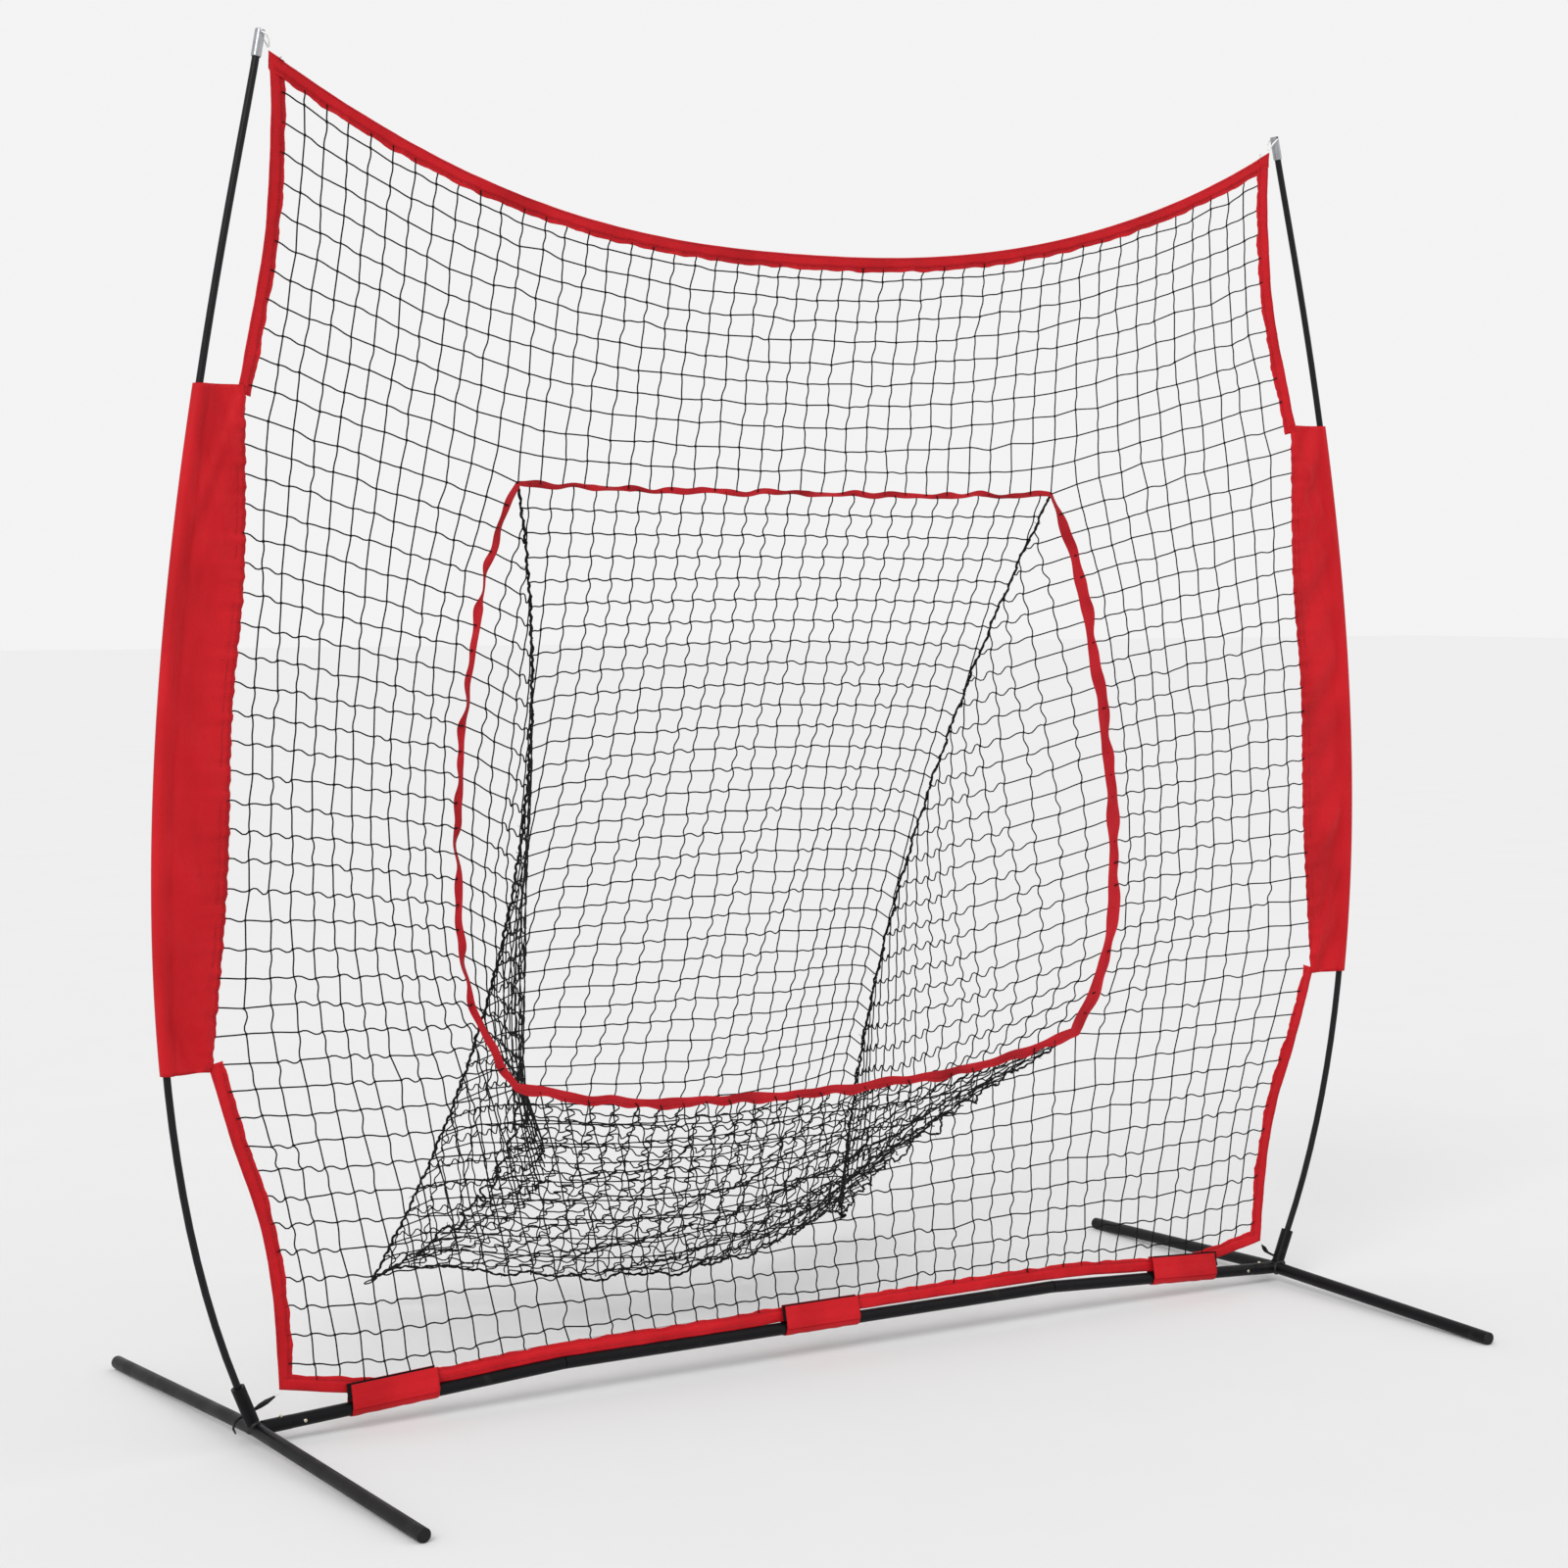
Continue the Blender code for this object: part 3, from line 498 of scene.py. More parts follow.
def slack_line(knots, rests, hint, turn=1.0, droop=0.35):
    """A twine through its knots. Each stretch is as long as its rest length, so it bends to an S."""
    knots = np.asarray(knots, float)
    a, b = knots[:-1], knots[1:]
    gap = np.linalg.norm(b - a, axis=1)
    slack = np.sqrt(np.clip(np.asarray(rests) / gap - 1, 0.0008, 0.45)) * gap / pi
    slack = slack * RNG.uniform(0.35, 1.15, len(gap)) * np.asarray(turn)
    sway = unit(np.cross(b - a, np.broadcast_to(hint, a.shape)))
    t = (np.arange(TWINE_STEPS) / TWINE_STEPS)[None, :, None]
    line = a[:, None] + (b - a)[:, None] * t
    line = line + slack[:, None, None] * np.sin(2 * pi * t) * sway[:, None]
    line[..., 2] -= droop * np.abs(slack)[:, None] * np.sin(pi * t[..., 0])
    line[..., 0] += 0.4 * slack[:, None] * np.sin(pi * t[..., 0])
    return np.vstack([line.reshape(-1, 3), knots[-1:]])


def mouth_lines():
    """The opening's top, side and bottom, on the +X side: top and bottom run from the middle."""
    return smooth_curve(MOUTH[:3], 200), smooth_curve(MOUTH[2:8], 300), smooth_curve(MOUTH[:6:-1], 200)


def whole(half):
    """A line across the middle from its +X half, which runs from the middle outward."""
    return np.vstack([mirror(half[::-1], -1), half[1:]])


def top_edge():
    """The outer line of the top edge, from -X to +X."""
    x = np.linspace(-TOP_CORNER[0], TOP_CORNER[0], 201)
    z = TOP_MIDDLE_Z + (TOP_CORNER[1] - TOP_MIDDLE_Z) * (np.abs(x) / TOP_CORNER[0]) ** TOP_POWER
    return np.stack([x, z], 1)


def net_edges():
    """The lines inside the fabric where the netting is sewn: top, right side and bottom."""
    inset = BORDER_W - 0.006
    top = offset_inward(top_edge(), inset)
    top = top[np.abs(top[:, 0]) < TOP_CORNER[0] - inset]
    upper = offset_inward(smooth_curve(UPPER_EDGE, 60), inset)
    lower = offset_inward(smooth_curve(LOWER_EDGE, 60), inset)
    sleeve = smooth_curve(SLEEVE_EDGE, 60) + (0.004, 0.0)
    bottom = offset_inward(smooth_curve(BOTTOM_EDGE, 200), inset)[::-1]
    bottom = bottom[bottom[:, 0] < BOTTOM_EDGE[0][0] - inset]
    upper = upper[upper[:, 1] < top[-1, 1]]
    lower = lower[lower[:, 1] > bottom[-1, 1]]
    side = np.vstack([top[-1:], upper, sleeve[3:-3], lower, bottom[-1:]])
    return top, side, bottom


def net_knots():
    """Front-view places of the net's knots: pinned at its edges and the opening, settled between."""
    rows, columns = sum(ROWS), sum(COLUMNS)
    top, side, bottom = net_edges()
    mouth_top, mouth_side, mouth_bottom = mouth_lines()
    heights = np.ones(rows)
    heights[[0, -1]] = EDGE_CELL
    place = np.full((rows + 1, columns + 1, 2), np.nan)
    place[0] = even(top, columns + 1)
    place[-1] = even(whole(bottom), columns + 1)
    stops = np.concatenate([[0.0], np.cumsum(heights)])
    place[:, -1] = at_length(side, stops / stops[-1] * line_length(side))
    place[:, 0] = mirror(place[:, -1], -1)
    r0, r1, c0, c1 = ROWS[0], ROWS[0] + ROWS[1], COLUMNS[0], COLUMNS[0] + COLUMNS[1]
    place[r0, c0: c1 + 1] = even(whole(mouth_top), c1 - c0 + 1)
    place[r1, c0: c1 + 1] = even(whole(mouth_bottom), c1 - c0 + 1)
    place[r0: r1 + 1, c1] = even(mouth_side, r1 - r0 + 1)
    place[r0: r1 + 1, c0] = mirror(place[r0: r1 + 1, c1], -1)
    hole = np.zeros(place.shape[:2], bool)
    hole[r0 + 1: r1, c0 + 1: c1] = True
    free = np.isnan(place[..., 0]) & ~hole
    index = np.full(place.shape[:2], -1)
    index[free] = np.arange(free.sum())
    pull = np.zeros((free.sum(), free.sum()))
    known = np.zeros((free.sum(), 2))
    for r, c in zip(*np.nonzero(free)):
        row = index[r, c]
        for dr, dc in ((-1, 0), (1, 0), (0, -1), (0, 1)):
            weight = 1 / heights[min(r, r + dr)] if dr else 1.0
            pull[row, row] += weight
            if free[r + dr, c + dc]:
                pull[row, index[r + dr, c + dc]] -= weight
            else:
                known[row] += weight * place[r + dr, c + dc]
    place[free] = np.linalg.solve(pull, known)
    place[free] += RNG.normal(0, 0.0017, (free.sum(), 2))
    return place, heights, (r0, r1, c0, c1)


def strand_runs(size, first, last, broken):
    """The stretches of a row or column of knots: one, or two beside the opening."""
    return [(0, first), (last, size)] if broken else [(0, size)]


def net_slack(knots):
    """How much of its spare length each stretch shows: little at the taut top, more low and outside."""
    middle = (knots[:-1] + knots[1:]) / 2
    low = np.clip((1.35 - middle[:, 2]) / 0.8, 0, 1)
    outer = np.clip((np.abs(middle[:, 0]) - 0.86) / 0.12, 0, 1)
    return 0.28 + 0.42 * low + 0.25 * outer * (middle[:, 2] < 1.7)


def build_net():
    """The main netting in four pieces round the opening, standing for the CAD's net panel."""
    flat, heights, (r0, r1, c0, c1) = net_knots()
    knots = on_net(np.nan_to_num(flat))
    knots[..., 1] += RNG.normal(0, 0.0008, knots.shape[:2])
    bundles = {name: Bundle() for name in ("top", "left", "right", "bottom")}
    facing = (0.0, 1.0, 0.0)
    rows, columns = knots.shape[0] - 1, knots.shape[1] - 1

    def add_twine(name, stretch, rests):
        line = slack_line(stretch, rests, facing, net_slack(stretch))
        bundles[name].tube(line, facing, TWINE_R)
    for r in range(1, rows):
        beside = r0 <= r <= r1
        for start, end in strand_runs(columns, c0, c1, beside):
            name = ("left" if end == c0 else "right") if beside else ("top" if r < r0 else "bottom")
            add_twine(name, knots[r, start: end + 1], [MESH] * (end - start))
    for c in range(1, columns):
        beside = c0 <= c <= c1
        for start, end in strand_runs(rows, r0, r1, beside):
            name = ("top" if end == r0 else "bottom") if beside else ("left" if c < c0 else "right")
            add_twine(name, knots[start: end + 1, c], MESH * heights[start:end])
    for r in range(1, rows):
        for c in range(1, columns):
            if r0 <= r <= r1 and c0 <= c <= c1:
                continue
            name = "top" if r < r0 else "bottom" if r > r1 else "left" if c < c0 else "right"
            bundles[name].knot(knots[r, c], KNOT_R * RNG.uniform(0.85, 1.15))
    for name, bundle in bundles.items():
        stands_for = ("net_panel",) if name == "top" else ()
        bundle.piece(f"netting_{name}", "twine", "netting", stands_for=stands_for)


def surface_from(grid):
    """A function of (u, v), both from 0 to 1, that gives points of a grid: v by row, u by column."""
    grid = np.asarray(grid, float)
    rows, columns = grid.shape[0] - 1, grid.shape[1] - 1

    def at(u, v):
        x = np.clip(np.asarray(u, float), 0, 1) * columns
        y = np.clip(np.asarray(v, float), 0, 1) * rows
        i = np.minimum(x.astype(int), columns - 1)
        j = np.minimum(y.astype(int), rows - 1)
        fx, fy = (x - i)[..., None], (y - j)[..., None]
        low = grid[j, i] * (1 - fx) + grid[j, i + 1] * fx
        high = grid[j + 1, i] * (1 - fx) + grid[j + 1, i + 1] * fx
        return low * (1 - fy) + high * fy
    return at


def grid_shares(start):
    """A grid's shares across, from start to 1, and down, from 0 to 1."""
    return np.linspace(start, 1, GRID)[None, :], np.linspace(0, 1, GRID)[:, None]


def facing_of(surface, u, v):
    """The surface's normals at (u, v)."""
    step = 0.01
    du = surface(np.minimum(u + step, 1), v) - surface(np.maximum(u - step, 0), v)
    dv = surface(u, np.minimum(v + step, 1)) - surface(u, np.maximum(v - step, 0))
    return unit(np.cross(du, dv))


def coons(top, bottom, left, right):
    """A smooth surface between four boundary lines, as rows of points."""
    rows, columns = len(left), len(top)
    u = np.linspace(0, 1, columns)[None, :, None]
    v = np.linspace(0, 1, rows)[:, None, None]
    top, bottom, left, right = top[None], bottom[None], left[:, None], right[:, None]
    corners = ((1 - u) * (1 - v) * top[:, :1] + u * (1 - v) * top[:, -1:]
               + (1 - u) * v * bottom[:, :1] + u * v * bottom[:, -1:])
    return (1 - v) * top + v * bottom + (1 - u) * left + u * right - corners


def cells_between(low, high):
    """The cut ends of a twine and the whole cells between them."""
    inside = np.arange(np.ceil(low + 0.12), np.floor(high - 0.12) + 1)
    return np.concatenate([[low], inside, [high]])


def column_spans(x, rows, row_span):
    """The stretches of rows over which a column lies inside a panel's cut."""
    y = np.linspace(0, rows, rows * 20 + 1)
    inside = [row_span(k)[0] <= x <= row_span(k)[1] for k in y]
    turns = np.flatnonzero(np.diff(np.concatenate([[0], inside, [0]])))
    return [(y[a], y[b - 1]) for a, b in zip(turns[::2], turns[1::2]) if b - a > 24]


def crumpled(surface, depth, seed):
    """The surface with slack folds that grow from its top (v = 0) towards its foot."""
    rng = np.random.default_rng(seed)
    waves = [(rng.uniform(2, 7), rng.uniform(2, 7), rng.uniform(0, 1), unit(rng.normal(size=3)))
             for _ in range(9)]

    def at(u, v):
        points = surface(u, v)
        u, v = np.asarray(u, float), np.asarray(v, float)
        swell = depth * (0.25 + 0.75 * v) * (16 * u * (1 - u) * v * (1 - v)).clip(0, 1) ** 0.6
        for across, down, phase, way in waves:
            lean = np.sin(2 * pi * (across * u + down * v + phase))
            points = points + (swell * lean)[..., None] * way / 3
        return points
    return at


def build_panel(name, surface, rows, row_span, to_surface, turns, stands_for, stretch):
    """A cut panel of netting on a surface.

    row_span gives a row's first and last column, and to_surface the place of a column and row.
    """
    bundle = Bundle()

    def add_twine(x, y, turn):
        u, v = to_surface(x, y)
        knots = surface(u, v)
        hint = facing_of(surface, u[:-1], v[:-1])
        rests = np.hypot(np.diff(x), np.diff(y)) * MESH * stretch
        bundle.tube(slack_line(knots, rests, hint, turn), hint_along(hint), TWINE_R)
        return knots
    spans = [row_span(y) for y in range(rows + 1)]
    for y in range(1, rows):
        low, high = spans[y]
        if high - low < 1.2:
            continue
        x = cells_between(low, high)
        for point in add_twine(x, np.full(len(x), float(y)), turns[0])[1:-1]:
            bundle.knot(point, KNOT_R * RNG.uniform(0.85, 1.15))
    first, last = min(low for low, _ in spans), max(high for _, high in spans)
    for x in range(int(np.ceil(first + 0.12)), int(np.floor(last - 0.12)) + 1):
        for low, high in column_spans(x, rows, row_span):
            y = cells_between(low, high)
            add_twine(np.full(len(y), float(x)), y, turns[1])
    bundle.piece(name, "twine", "netting", stands_for=stands_for)


def hint_along(hint):
    """The knots' normals spread to every point of the line through them."""
    return np.vstack([np.repeat(hint, TWINE_STEPS, axis=0), hint[-1:]])


# --- Pocket -----------------------------------------------------------------------------

def pocket_seam(side, count=60):
    """The corded seam from an upper corner of the opening to the pocket's tip."""
    corner = on_net(MOUTH_UPPER)
    tip = np.array(POCKET_TIP) + (0, NET_Y, 0)
    s = np.linspace(0, 1, count)[:, None]
    bulge = 4 * s * (1 - s)
    line = corner + (tip - corner) * s - bulge * np.array([SEAM_WAIST, SEAM_SAG, 0.0])
    return line * np.array([side, 1, 1])


def pocket_hem(count):
    """The fold from tip to tip where the back meets the bottom, from -X to +X."""
    u = np.linspace(-1, 1, count)[:, None]
    tip = pocket_seam(1)[-1]
    depth = tip[1] - BELLY_FORWARD * (1 - u ** 2)
    rise = BELLY_Z + 0.055 * np.abs(u) ** 1.8
    rise = rise + (tip[2] - BELLY_Z - 0.055) * np.exp(-(1 - np.abs(u)) / 0.07)
    return np.hstack([u * tip[0], depth, rise])


def side_fold(side, count):
    """The slack seam from the opening's lower corner to the pocket's tip."""
    start = on_net(MOUTH_LOWER) + (0, 0.004, -0.004)
    end = pocket_seam(1)[-1]
    s = np.linspace(0, 1, count)[:, None]
    line = start + (end - start) * s
    line -= 4 * s * (1 - s) * np.array([FOLD_INWARD, 0.0, 0.012])
    return line * np.array([side, 1, 1])


def back_surface():
    """The pocket's back, from the opening's top edge down to the hem."""
    rear = on_net(even(whole(mouth_lines()[0]), GRID)) + (0, 0.004, -0.004)
    grid = coons(rear, pocket_hem(GRID), even(pocket_seam(-1), GRID), even(pocket_seam(1), GRID))
    u, v = grid_shares(-1)
    grid[..., 1] += 0.020 * (1 - u ** 2) * np.sin(pi * v)
    return surface_from(grid)


def bottom_surface():
    """The pocket's bottom, from the opening's lower edge back to the hem."""
    front = on_net(even(whole(mouth_lines()[2]), GRID)) + (0, 0.004, -0.004)
    grid = coons(front, pocket_hem(GRID), side_fold(-1, GRID), side_fold(1, GRID))
    u, v = grid_shares(-1)
    grid[..., 2] -= BELLY_DROP * np.sin(pi * v) * (1 - u ** 2)
    grid[..., 2] += 0.006 * np.sin(9 * pi * u) * np.sin(pi * v)
    return surface_from(grid)


def gusset_surface(side):
    """A side of the pocket, between the opening's side (u = 0) and the seam (u = 1)."""
    start = on_net(even(mouth_lines()[1], GRID)) + (0, 0.004, 0)
    end = even(pocket_seam(1), GRID)
    grid = coons(np.linspace(start[0], end[0], GRID), side_fold(1, GRID), start, end)
    u, v = grid_shares(0)
    bulge = np.sin(pi * u) * v ** 1.6
    grid[..., 0] -= 0.090 * bulge
    grid[..., 2] -= 0.026 * bulge
    return surface_from(grid * np.array([side, 1, 1]))


def back_half_width(y):
    """Half of the back panel's width in columns: it narrows to a waist and widens to the tips."""
    v, waist = y / BACK_ROWS, 0.65
    reach, widening = (waist, 2.5) if v < waist else (1 - waist, 1.6)
    return 10.0 + widening * ((v - waist) / reach) ** 2


def back_place(x, y):
    """Where a column and row of the back panel lie. Rows arch down towards the seams."""
    half = np.array([back_half_width(k) for k in y])
    u = np.clip((x + half) / (2 * half), 0, 1)
    v = y / BACK_ROWS
    return u, np.clip(v + 0.034 * ((2 * u - 1) ** 2 - 0.4) * np.sin(pi * v), 0, 1)


def bottom_place(x, y):
    """Where a column and row of the bottom panel lie."""
    return np.clip(x / BOTTOM_COLUMNS + 0.5, 0, 1), y / BOTTOM_ROWS


def gusset_span(y):
    """First and last column of a gusset's row: a triangle from the opening's side to the tip."""
    columns, rows = GUSSET_TIP
    return max(0.0, (y - ROWS[1]) * columns / (rows - ROWS[1])), columns * y / rows


def gusset_place(x, y):
    """Where a column and row of a gusset lie: u from the opening's side to the seam."""
    columns, rows = GUSSET_TIP
    v = np.clip((y - x * (rows - ROWS[1]) / columns) / ROWS[1], 0, 1)
    return np.clip(x / (columns * np.maximum(v, 0.01)), 0, 1), v


def build_pocket():
    """The pocket's four panels of netting, its seams, hem and tip loops."""
    half = BOTTOM_COLUMNS / 2
    build_panel("pocket_netting_back", crumpled(back_surface(), 0.007, 51), BACK_ROWS,
                lambda y: (-back_half_width(y), back_half_width(y)), back_place, (0.7, 0.7),
                ("pocket_back",), 1.0)
    build_panel("pocket_netting_bottom", crumpled(bottom_surface(), 0.030, 52), BOTTOM_ROWS,
                lambda y: (-half, half), bottom_place, (1.2, 1.2), ("pocket_bottom",), 1.16)
    for side, word in SIDES:
        build_panel(f"pocket_netting_{word}", crumpled(gusset_surface(side), 0.010, 54), GUSSET_TIP[1],
                    gusset_span, gusset_place, (1.05, 0.8), (f"pocket_gusset_{word}",), 1.03)
        build_pocket_seam(side, word)
        build_tip_loop(side, word)
    build_hem()


def lumpy_cord(bundle, line, radius, seed):
    """A bound cord with uneven wraps, and short twine ends that stick out."""
    tuft_every = 0.05
    length = line_length(line)
    fine = even(line, max(int(length / 0.004), 4))
    s = np.linspace(0, length, len(fine))
    wander = np.stack([ripple(s, (0.043, 0.019, 0.11), seed + k) for k in range(3)], 1)
    fade = np.clip(np.minimum(s, length - s) / 0.03, 0, 1)[:, None]
    fine = fine + wander * 0.0016 * fade
    girth = radius * (1 + 0.22 * ripple(s, (0.011, 0.0083, 0.027), seed + 5))
    across = unit(np.cross(fine[-1] - fine[0], (0.31, 0.93, 0.17)))
    bundle.tube(fine, across, girth, 8)
    rng = np.random.default_rng(seed)
    for stop in np.arange(tuft_every, length - tuft_every, tuft_every):
        base = at_length(fine, [stop + rng.uniform(-0.012, 0.012)])[0]
        for _ in range(2):
            way = unit(rng.normal(size=3))
            reach = rng.uniform(0.005, 0.010)
            bend = unit(rng.normal(size=3)) * reach * 0.3
            points = [base, base + way * reach * 0.6 + bend, base + way * reach]
            bundle.tube(points, across, [0.0007, 0.0006, 0.0003], 4)


def build_pocket_seam(side, word):
    """The corded seam down the back's side, and the slack one under the gusset."""
    bundle = Bundle()
    lumpy_cord(bundle, even(pocket_seam(side), 80, 0.004), 0.0024, 20 + side)
    bundle.piece(f"pocket_seam_cord_{word}", "cord", "cord", stands_for=(f"pocket_seam_{word}",))
    bundle = Bundle()
    fold = even(side_fold(side, 60), 120)
    s = np.linspace(0, line_length(fold), len(fold))
    fade = np.sin(np.linspace(0, pi, len(fold)))
    fold[:, 2] += 0.010 * fade * ripple(s, (0.13, 0.061), 40 + side)
    fold[:, 0] += 0.008 * fade * ripple(s, (0.10, 0.053), 44 + side)
    lumpy_cord(bundle, fold, 0.0019, 30 + side)
    bundle.piece(f"pocket_fold_cord_{word}", "cord", "cord")


def build_tip_loop(side, word):
    """The bound end of a pocket seam and the tie loop behind it."""
    bundle = Bundle()
    end = pocket_seam(side)[-1] + (0, -0.001, -0.001)
    turn = np.linspace(0, 2 * pi, 28, endpoint=False)
    reach = (1 - np.cos(turn))[:, None]
    loop = end + np.sin(turn)[:, None] * (side * 0.0075, 0, 0) + reach * (0, 0.0150, -0.0070)
    bundle.tube(loop, (0, 0.42, 0.9), 0.0013, 8, closed=True)
    bundle.tube([end + (0, -0.012, 0.006), end + (0, -0.003, 0.0015), end + (0, 0.004, -0.002)],
                (1, 0, 0), [0.0034, 0.0040, 0.0026], 10)
    bundle.piece(f"pocket_tip_loop_{word}", "cord", "cord", stands_for=(f"pocket_loop_{word}",))


def build_hem():
    """The thick uneven hem from tip to tip."""
    bundle = Bundle()
    hem = even(pocket_hem(60), 200)
    s = np.linspace(0, line_length(hem), len(hem))
    fade = np.sin(np.linspace(0, pi, len(hem)))
    hem[:, 2] += 0.006 * fade * ripple(s, (0.17, 0.083), 61)
    lumpy_cord(bundle, hem, 0.0022, 60)
    bundle.piece("pocket_hem_cord", "cord", "cord")


# --- Sewn nylon -------------------------------------------------------------------------

def band_section(width, thick):
    """A folded band's closed section: its shares across, and heights that step down past the fold."""
    share = np.array([0.0, 0.02, 0.08, 0.30, 0.52, 0.66, 0.675, 0.76, 0.88, 0.96, 0.985, 1.0])
    rise = np.array([0.20, 0.80, 1.0, 1.0, 1.0, 1.0, 0.52, 0.50, 0.50, 0.50, 0.40, 0.15]) * thick / 2
    upper = [((a - 0.5) * width, r) for a, r in zip(share, rise)]
    return np.array(upper + [(a, -r) for a, r in upper[::-1]])


def trim_band(name, flat):
    """Rest the bottom band on the bar, and cut the bands that meet at the upper corners."""
    if "bottom" in name:
        flat[..., 1] -= 0.0050 * np.exp(-((flat[..., 0] + 0.42) / 0.32) ** 6)
    if "top" in name:
        flat = np.clip(flat, (-TOP_CORNER[0], 0.0), TOP_CORNER)
    if "upper" in name:
        slope = TOP_POWER * (TOP_CORNER[1] - TOP_MIDDLE_Z) / TOP_CORNER[0]
        below = slope * (TOP_CORNER[0] - np.abs(flat[..., 0]))
        flat[..., 1] = np.minimum(flat[..., 1], TOP_CORNER[1] - below)
    return flat


def build_band(name, line, stands_for, seed):
    """A folded nylon edge along a front-view line, to the right of its run."""
    length = line_length(line)
    count = int(length / 0.005)
    line = even(line, count)
    s = np.linspace(0, line_length(line), count)
    section = band_section(BORDER_W, 0.0030)
    inward = rightward(line)
    share, rise = section[:, 0] / BORDER_W + 0.5, section[:, 1][None]
    waver = 0.0011 * ripple(s, (0.061, 0.043, 0.13), seed)
    flat = line[:, None] + inward[:, None] * (share * BORDER_W)[None, :, None]
    share = share[None]
    flat = flat + inward[:, None] * (waver[:, None] * np.clip(share, 0, 1))[..., None]
    base = on_net(trim_band(name, flat))
    pucker = 0.0007 * ripple(s, (0.013, 0.0171, 0.026), seed + 3)[:, None] * (0.25 + share ** 2)
    slow = 0.0022 * ripple(s, (0.23, 0.11, 0.057), seed + 6)[:, None] * (share - 0.3)
    twine = np.exp(-(((s % MESH) - MESH / 2) / 0.0016) ** 2)[:, None] * 0.0007
    ridge = twine * np.clip((share - 0.25) * 3, 0, 1) * np.sign(rise)
    groove = -0.0004 * np.exp(-((share - 0.78) / 0.05) ** 2) * np.sign(rise)
    base[..., 1] -= rise + pucker + slow + ridge + groove
    verts, faces = loft(base)
    piece = add_piece(name, verts, faces, "nylon", "nylon", stands_for=stands_for)
    return line, inward, s


def dashes(line, last, pitch):
    """The start, middle and end of each stitch along a line, up to a length."""
    for stop in np.arange(0.004, last, pitch):
        start, end = at_length(line, [stop, stop + pitch * STITCH_SHARE])
        yield np.array([start, (start + end) / 2, end])


def add_stitch(bundle, points, lift):
    """A dash of thread on each face of the cloth, raised in its middle."""
    for face in (-1, 1):
        rise = [(0, face * height, 0) for height in (lift, lift + 0.0004, lift)]
        bundle.tube(points + np.array(rise), (0, 1, 0), THREAD, 4)


def stitch_row(bundle, line, last, inward, share):
    """Stitches along a band at a share of its width, left out where two bands meet at a corner."""
    for flat in dashes(line + inward * BORDER_W * share, last - 0.004, 0.0050):
        points = on_net(flat)
        if np.abs(points[:, 0]).max() < 0.978 or points[:, 2].max() < 2.0:
            add_stitch(bundle, points, 0.0016)


def build_borders():
    """Six folded nylon edges, each with a row of stitches near either side."""
    thread = Bundle()
    half = smooth_curve(BOTTOM_EDGE, 200)
    bottom = np.vstack([half, mirror(half[-2::-1], -1)])
    lines = [("border_top", top_edge(), 70), ("border_bottom", bottom, 71)]
    tucked = {"upper": (*UPPER_EDGE, (1.0443, 1.5960)), "lower": ((1.1015, 0.5930), *LOWER_EDGE)}
    for side, word in SIDES:
        for place, edge in tucked.items():
            line = mirror(smooth_curve(edge, 80), side)
            lines.append((f"border_{place}_{word}", line if side > 0 else line[::-1], 72 + side))
    for name, line, seed in lines:
        shown = name.replace("border", "nylon_edge")
        line, inward, s = build_band(shown, line, (name,), seed)
        for share in (0.78, 0.12):
            stitch_row(thread, line, s[-1], inward, share)
    thread.piece("edge_stitching", "thread", "nylon")


def pole_axis():
    """Front-view points on the axis of the pole on the +X side: the CAD's Bezier curve."""
    base, top = np.array([1.0557, POLE_FOOT_Z]), np.array([0.996, POLE_TOP_Z])
    low = base + 0.759 * np.array([sin(POLE_LEAN), cos(POLE_LEAN)])
    high = top + 0.2745 * np.array([sin(radians(10.6)), -cos(radians(10.6))])
    t = np.linspace(0, 1, 200)[:, None]
    return (1 - t) ** 3 * base + 3 * (1 - t) ** 2 * t * low + 3 * (1 - t) * t ** 2 * high + t ** 3 * top


def sleeve_folds(share, z, low, high, side):
    """How far the sleeve's cloth stands out: drag folds from its corners, and soft waves.

    Each drag fold starts at an end (1 for the top) and has a lean, a depth and a width.
    """
    height = (z - low) / (high - low)
    total = np.zeros(np.broadcast(share, z).shape)
    for end, lean, depth, width in ((1.0, -2.2, 0.0065, 0.020), (1.0, -3.8, 0.0050, 0.028),
                                    (1.0, -5.6, 0.0040, 0.035), (0.0, 2.4, 0.0060, 0.020),
                                    (0.0, 4.2, 0.0045, 0.030), (0.0, 6.0, 0.0035, 0.036)):
        ridge = height - end - lean * (1 - share) * 0.10
        reach = np.exp(-((height - end) / 0.42) ** 2) * np.sin(pi * np.clip(share, 0, 1)) ** 0.5
        total += depth * np.exp(-(ridge / width) ** 2) * reach
    calm = np.sin(pi * np.clip(share, 0, 1))
    total += 0.0042 * ripple(z + 0.12 * share, (0.31, 0.17, 0.097), 90 + side) * calm
    total += 0.0014 * ripple(z, (0.043, 0.029, 0.019), 95 + side) * share ** 3
    total -= 0.0030 * np.exp(-((share - 0.16) / 0.035) ** 2)
    return total


def lined_tube(loops, lining):
    """Vertices and faces of an open tube and its lining, joined at both rims."""
    verts, faces = loft(loops)
    faces = faces[:-2]
    base, count = len(verts), len(loops[0])
    faces += [tuple(base + k for k in face[::-1]) for face in faces]
    for row in (0, len(loops) - 1):
        start = row * count
        for k in range(count):
            a, b = start + k, start + (k + 1) % count
            faces.append((a, b, base + b, base + a) if row else (b, a, base + a, base + b))
    return np.vstack([verts, lining.reshape(-1, 3)]), faces


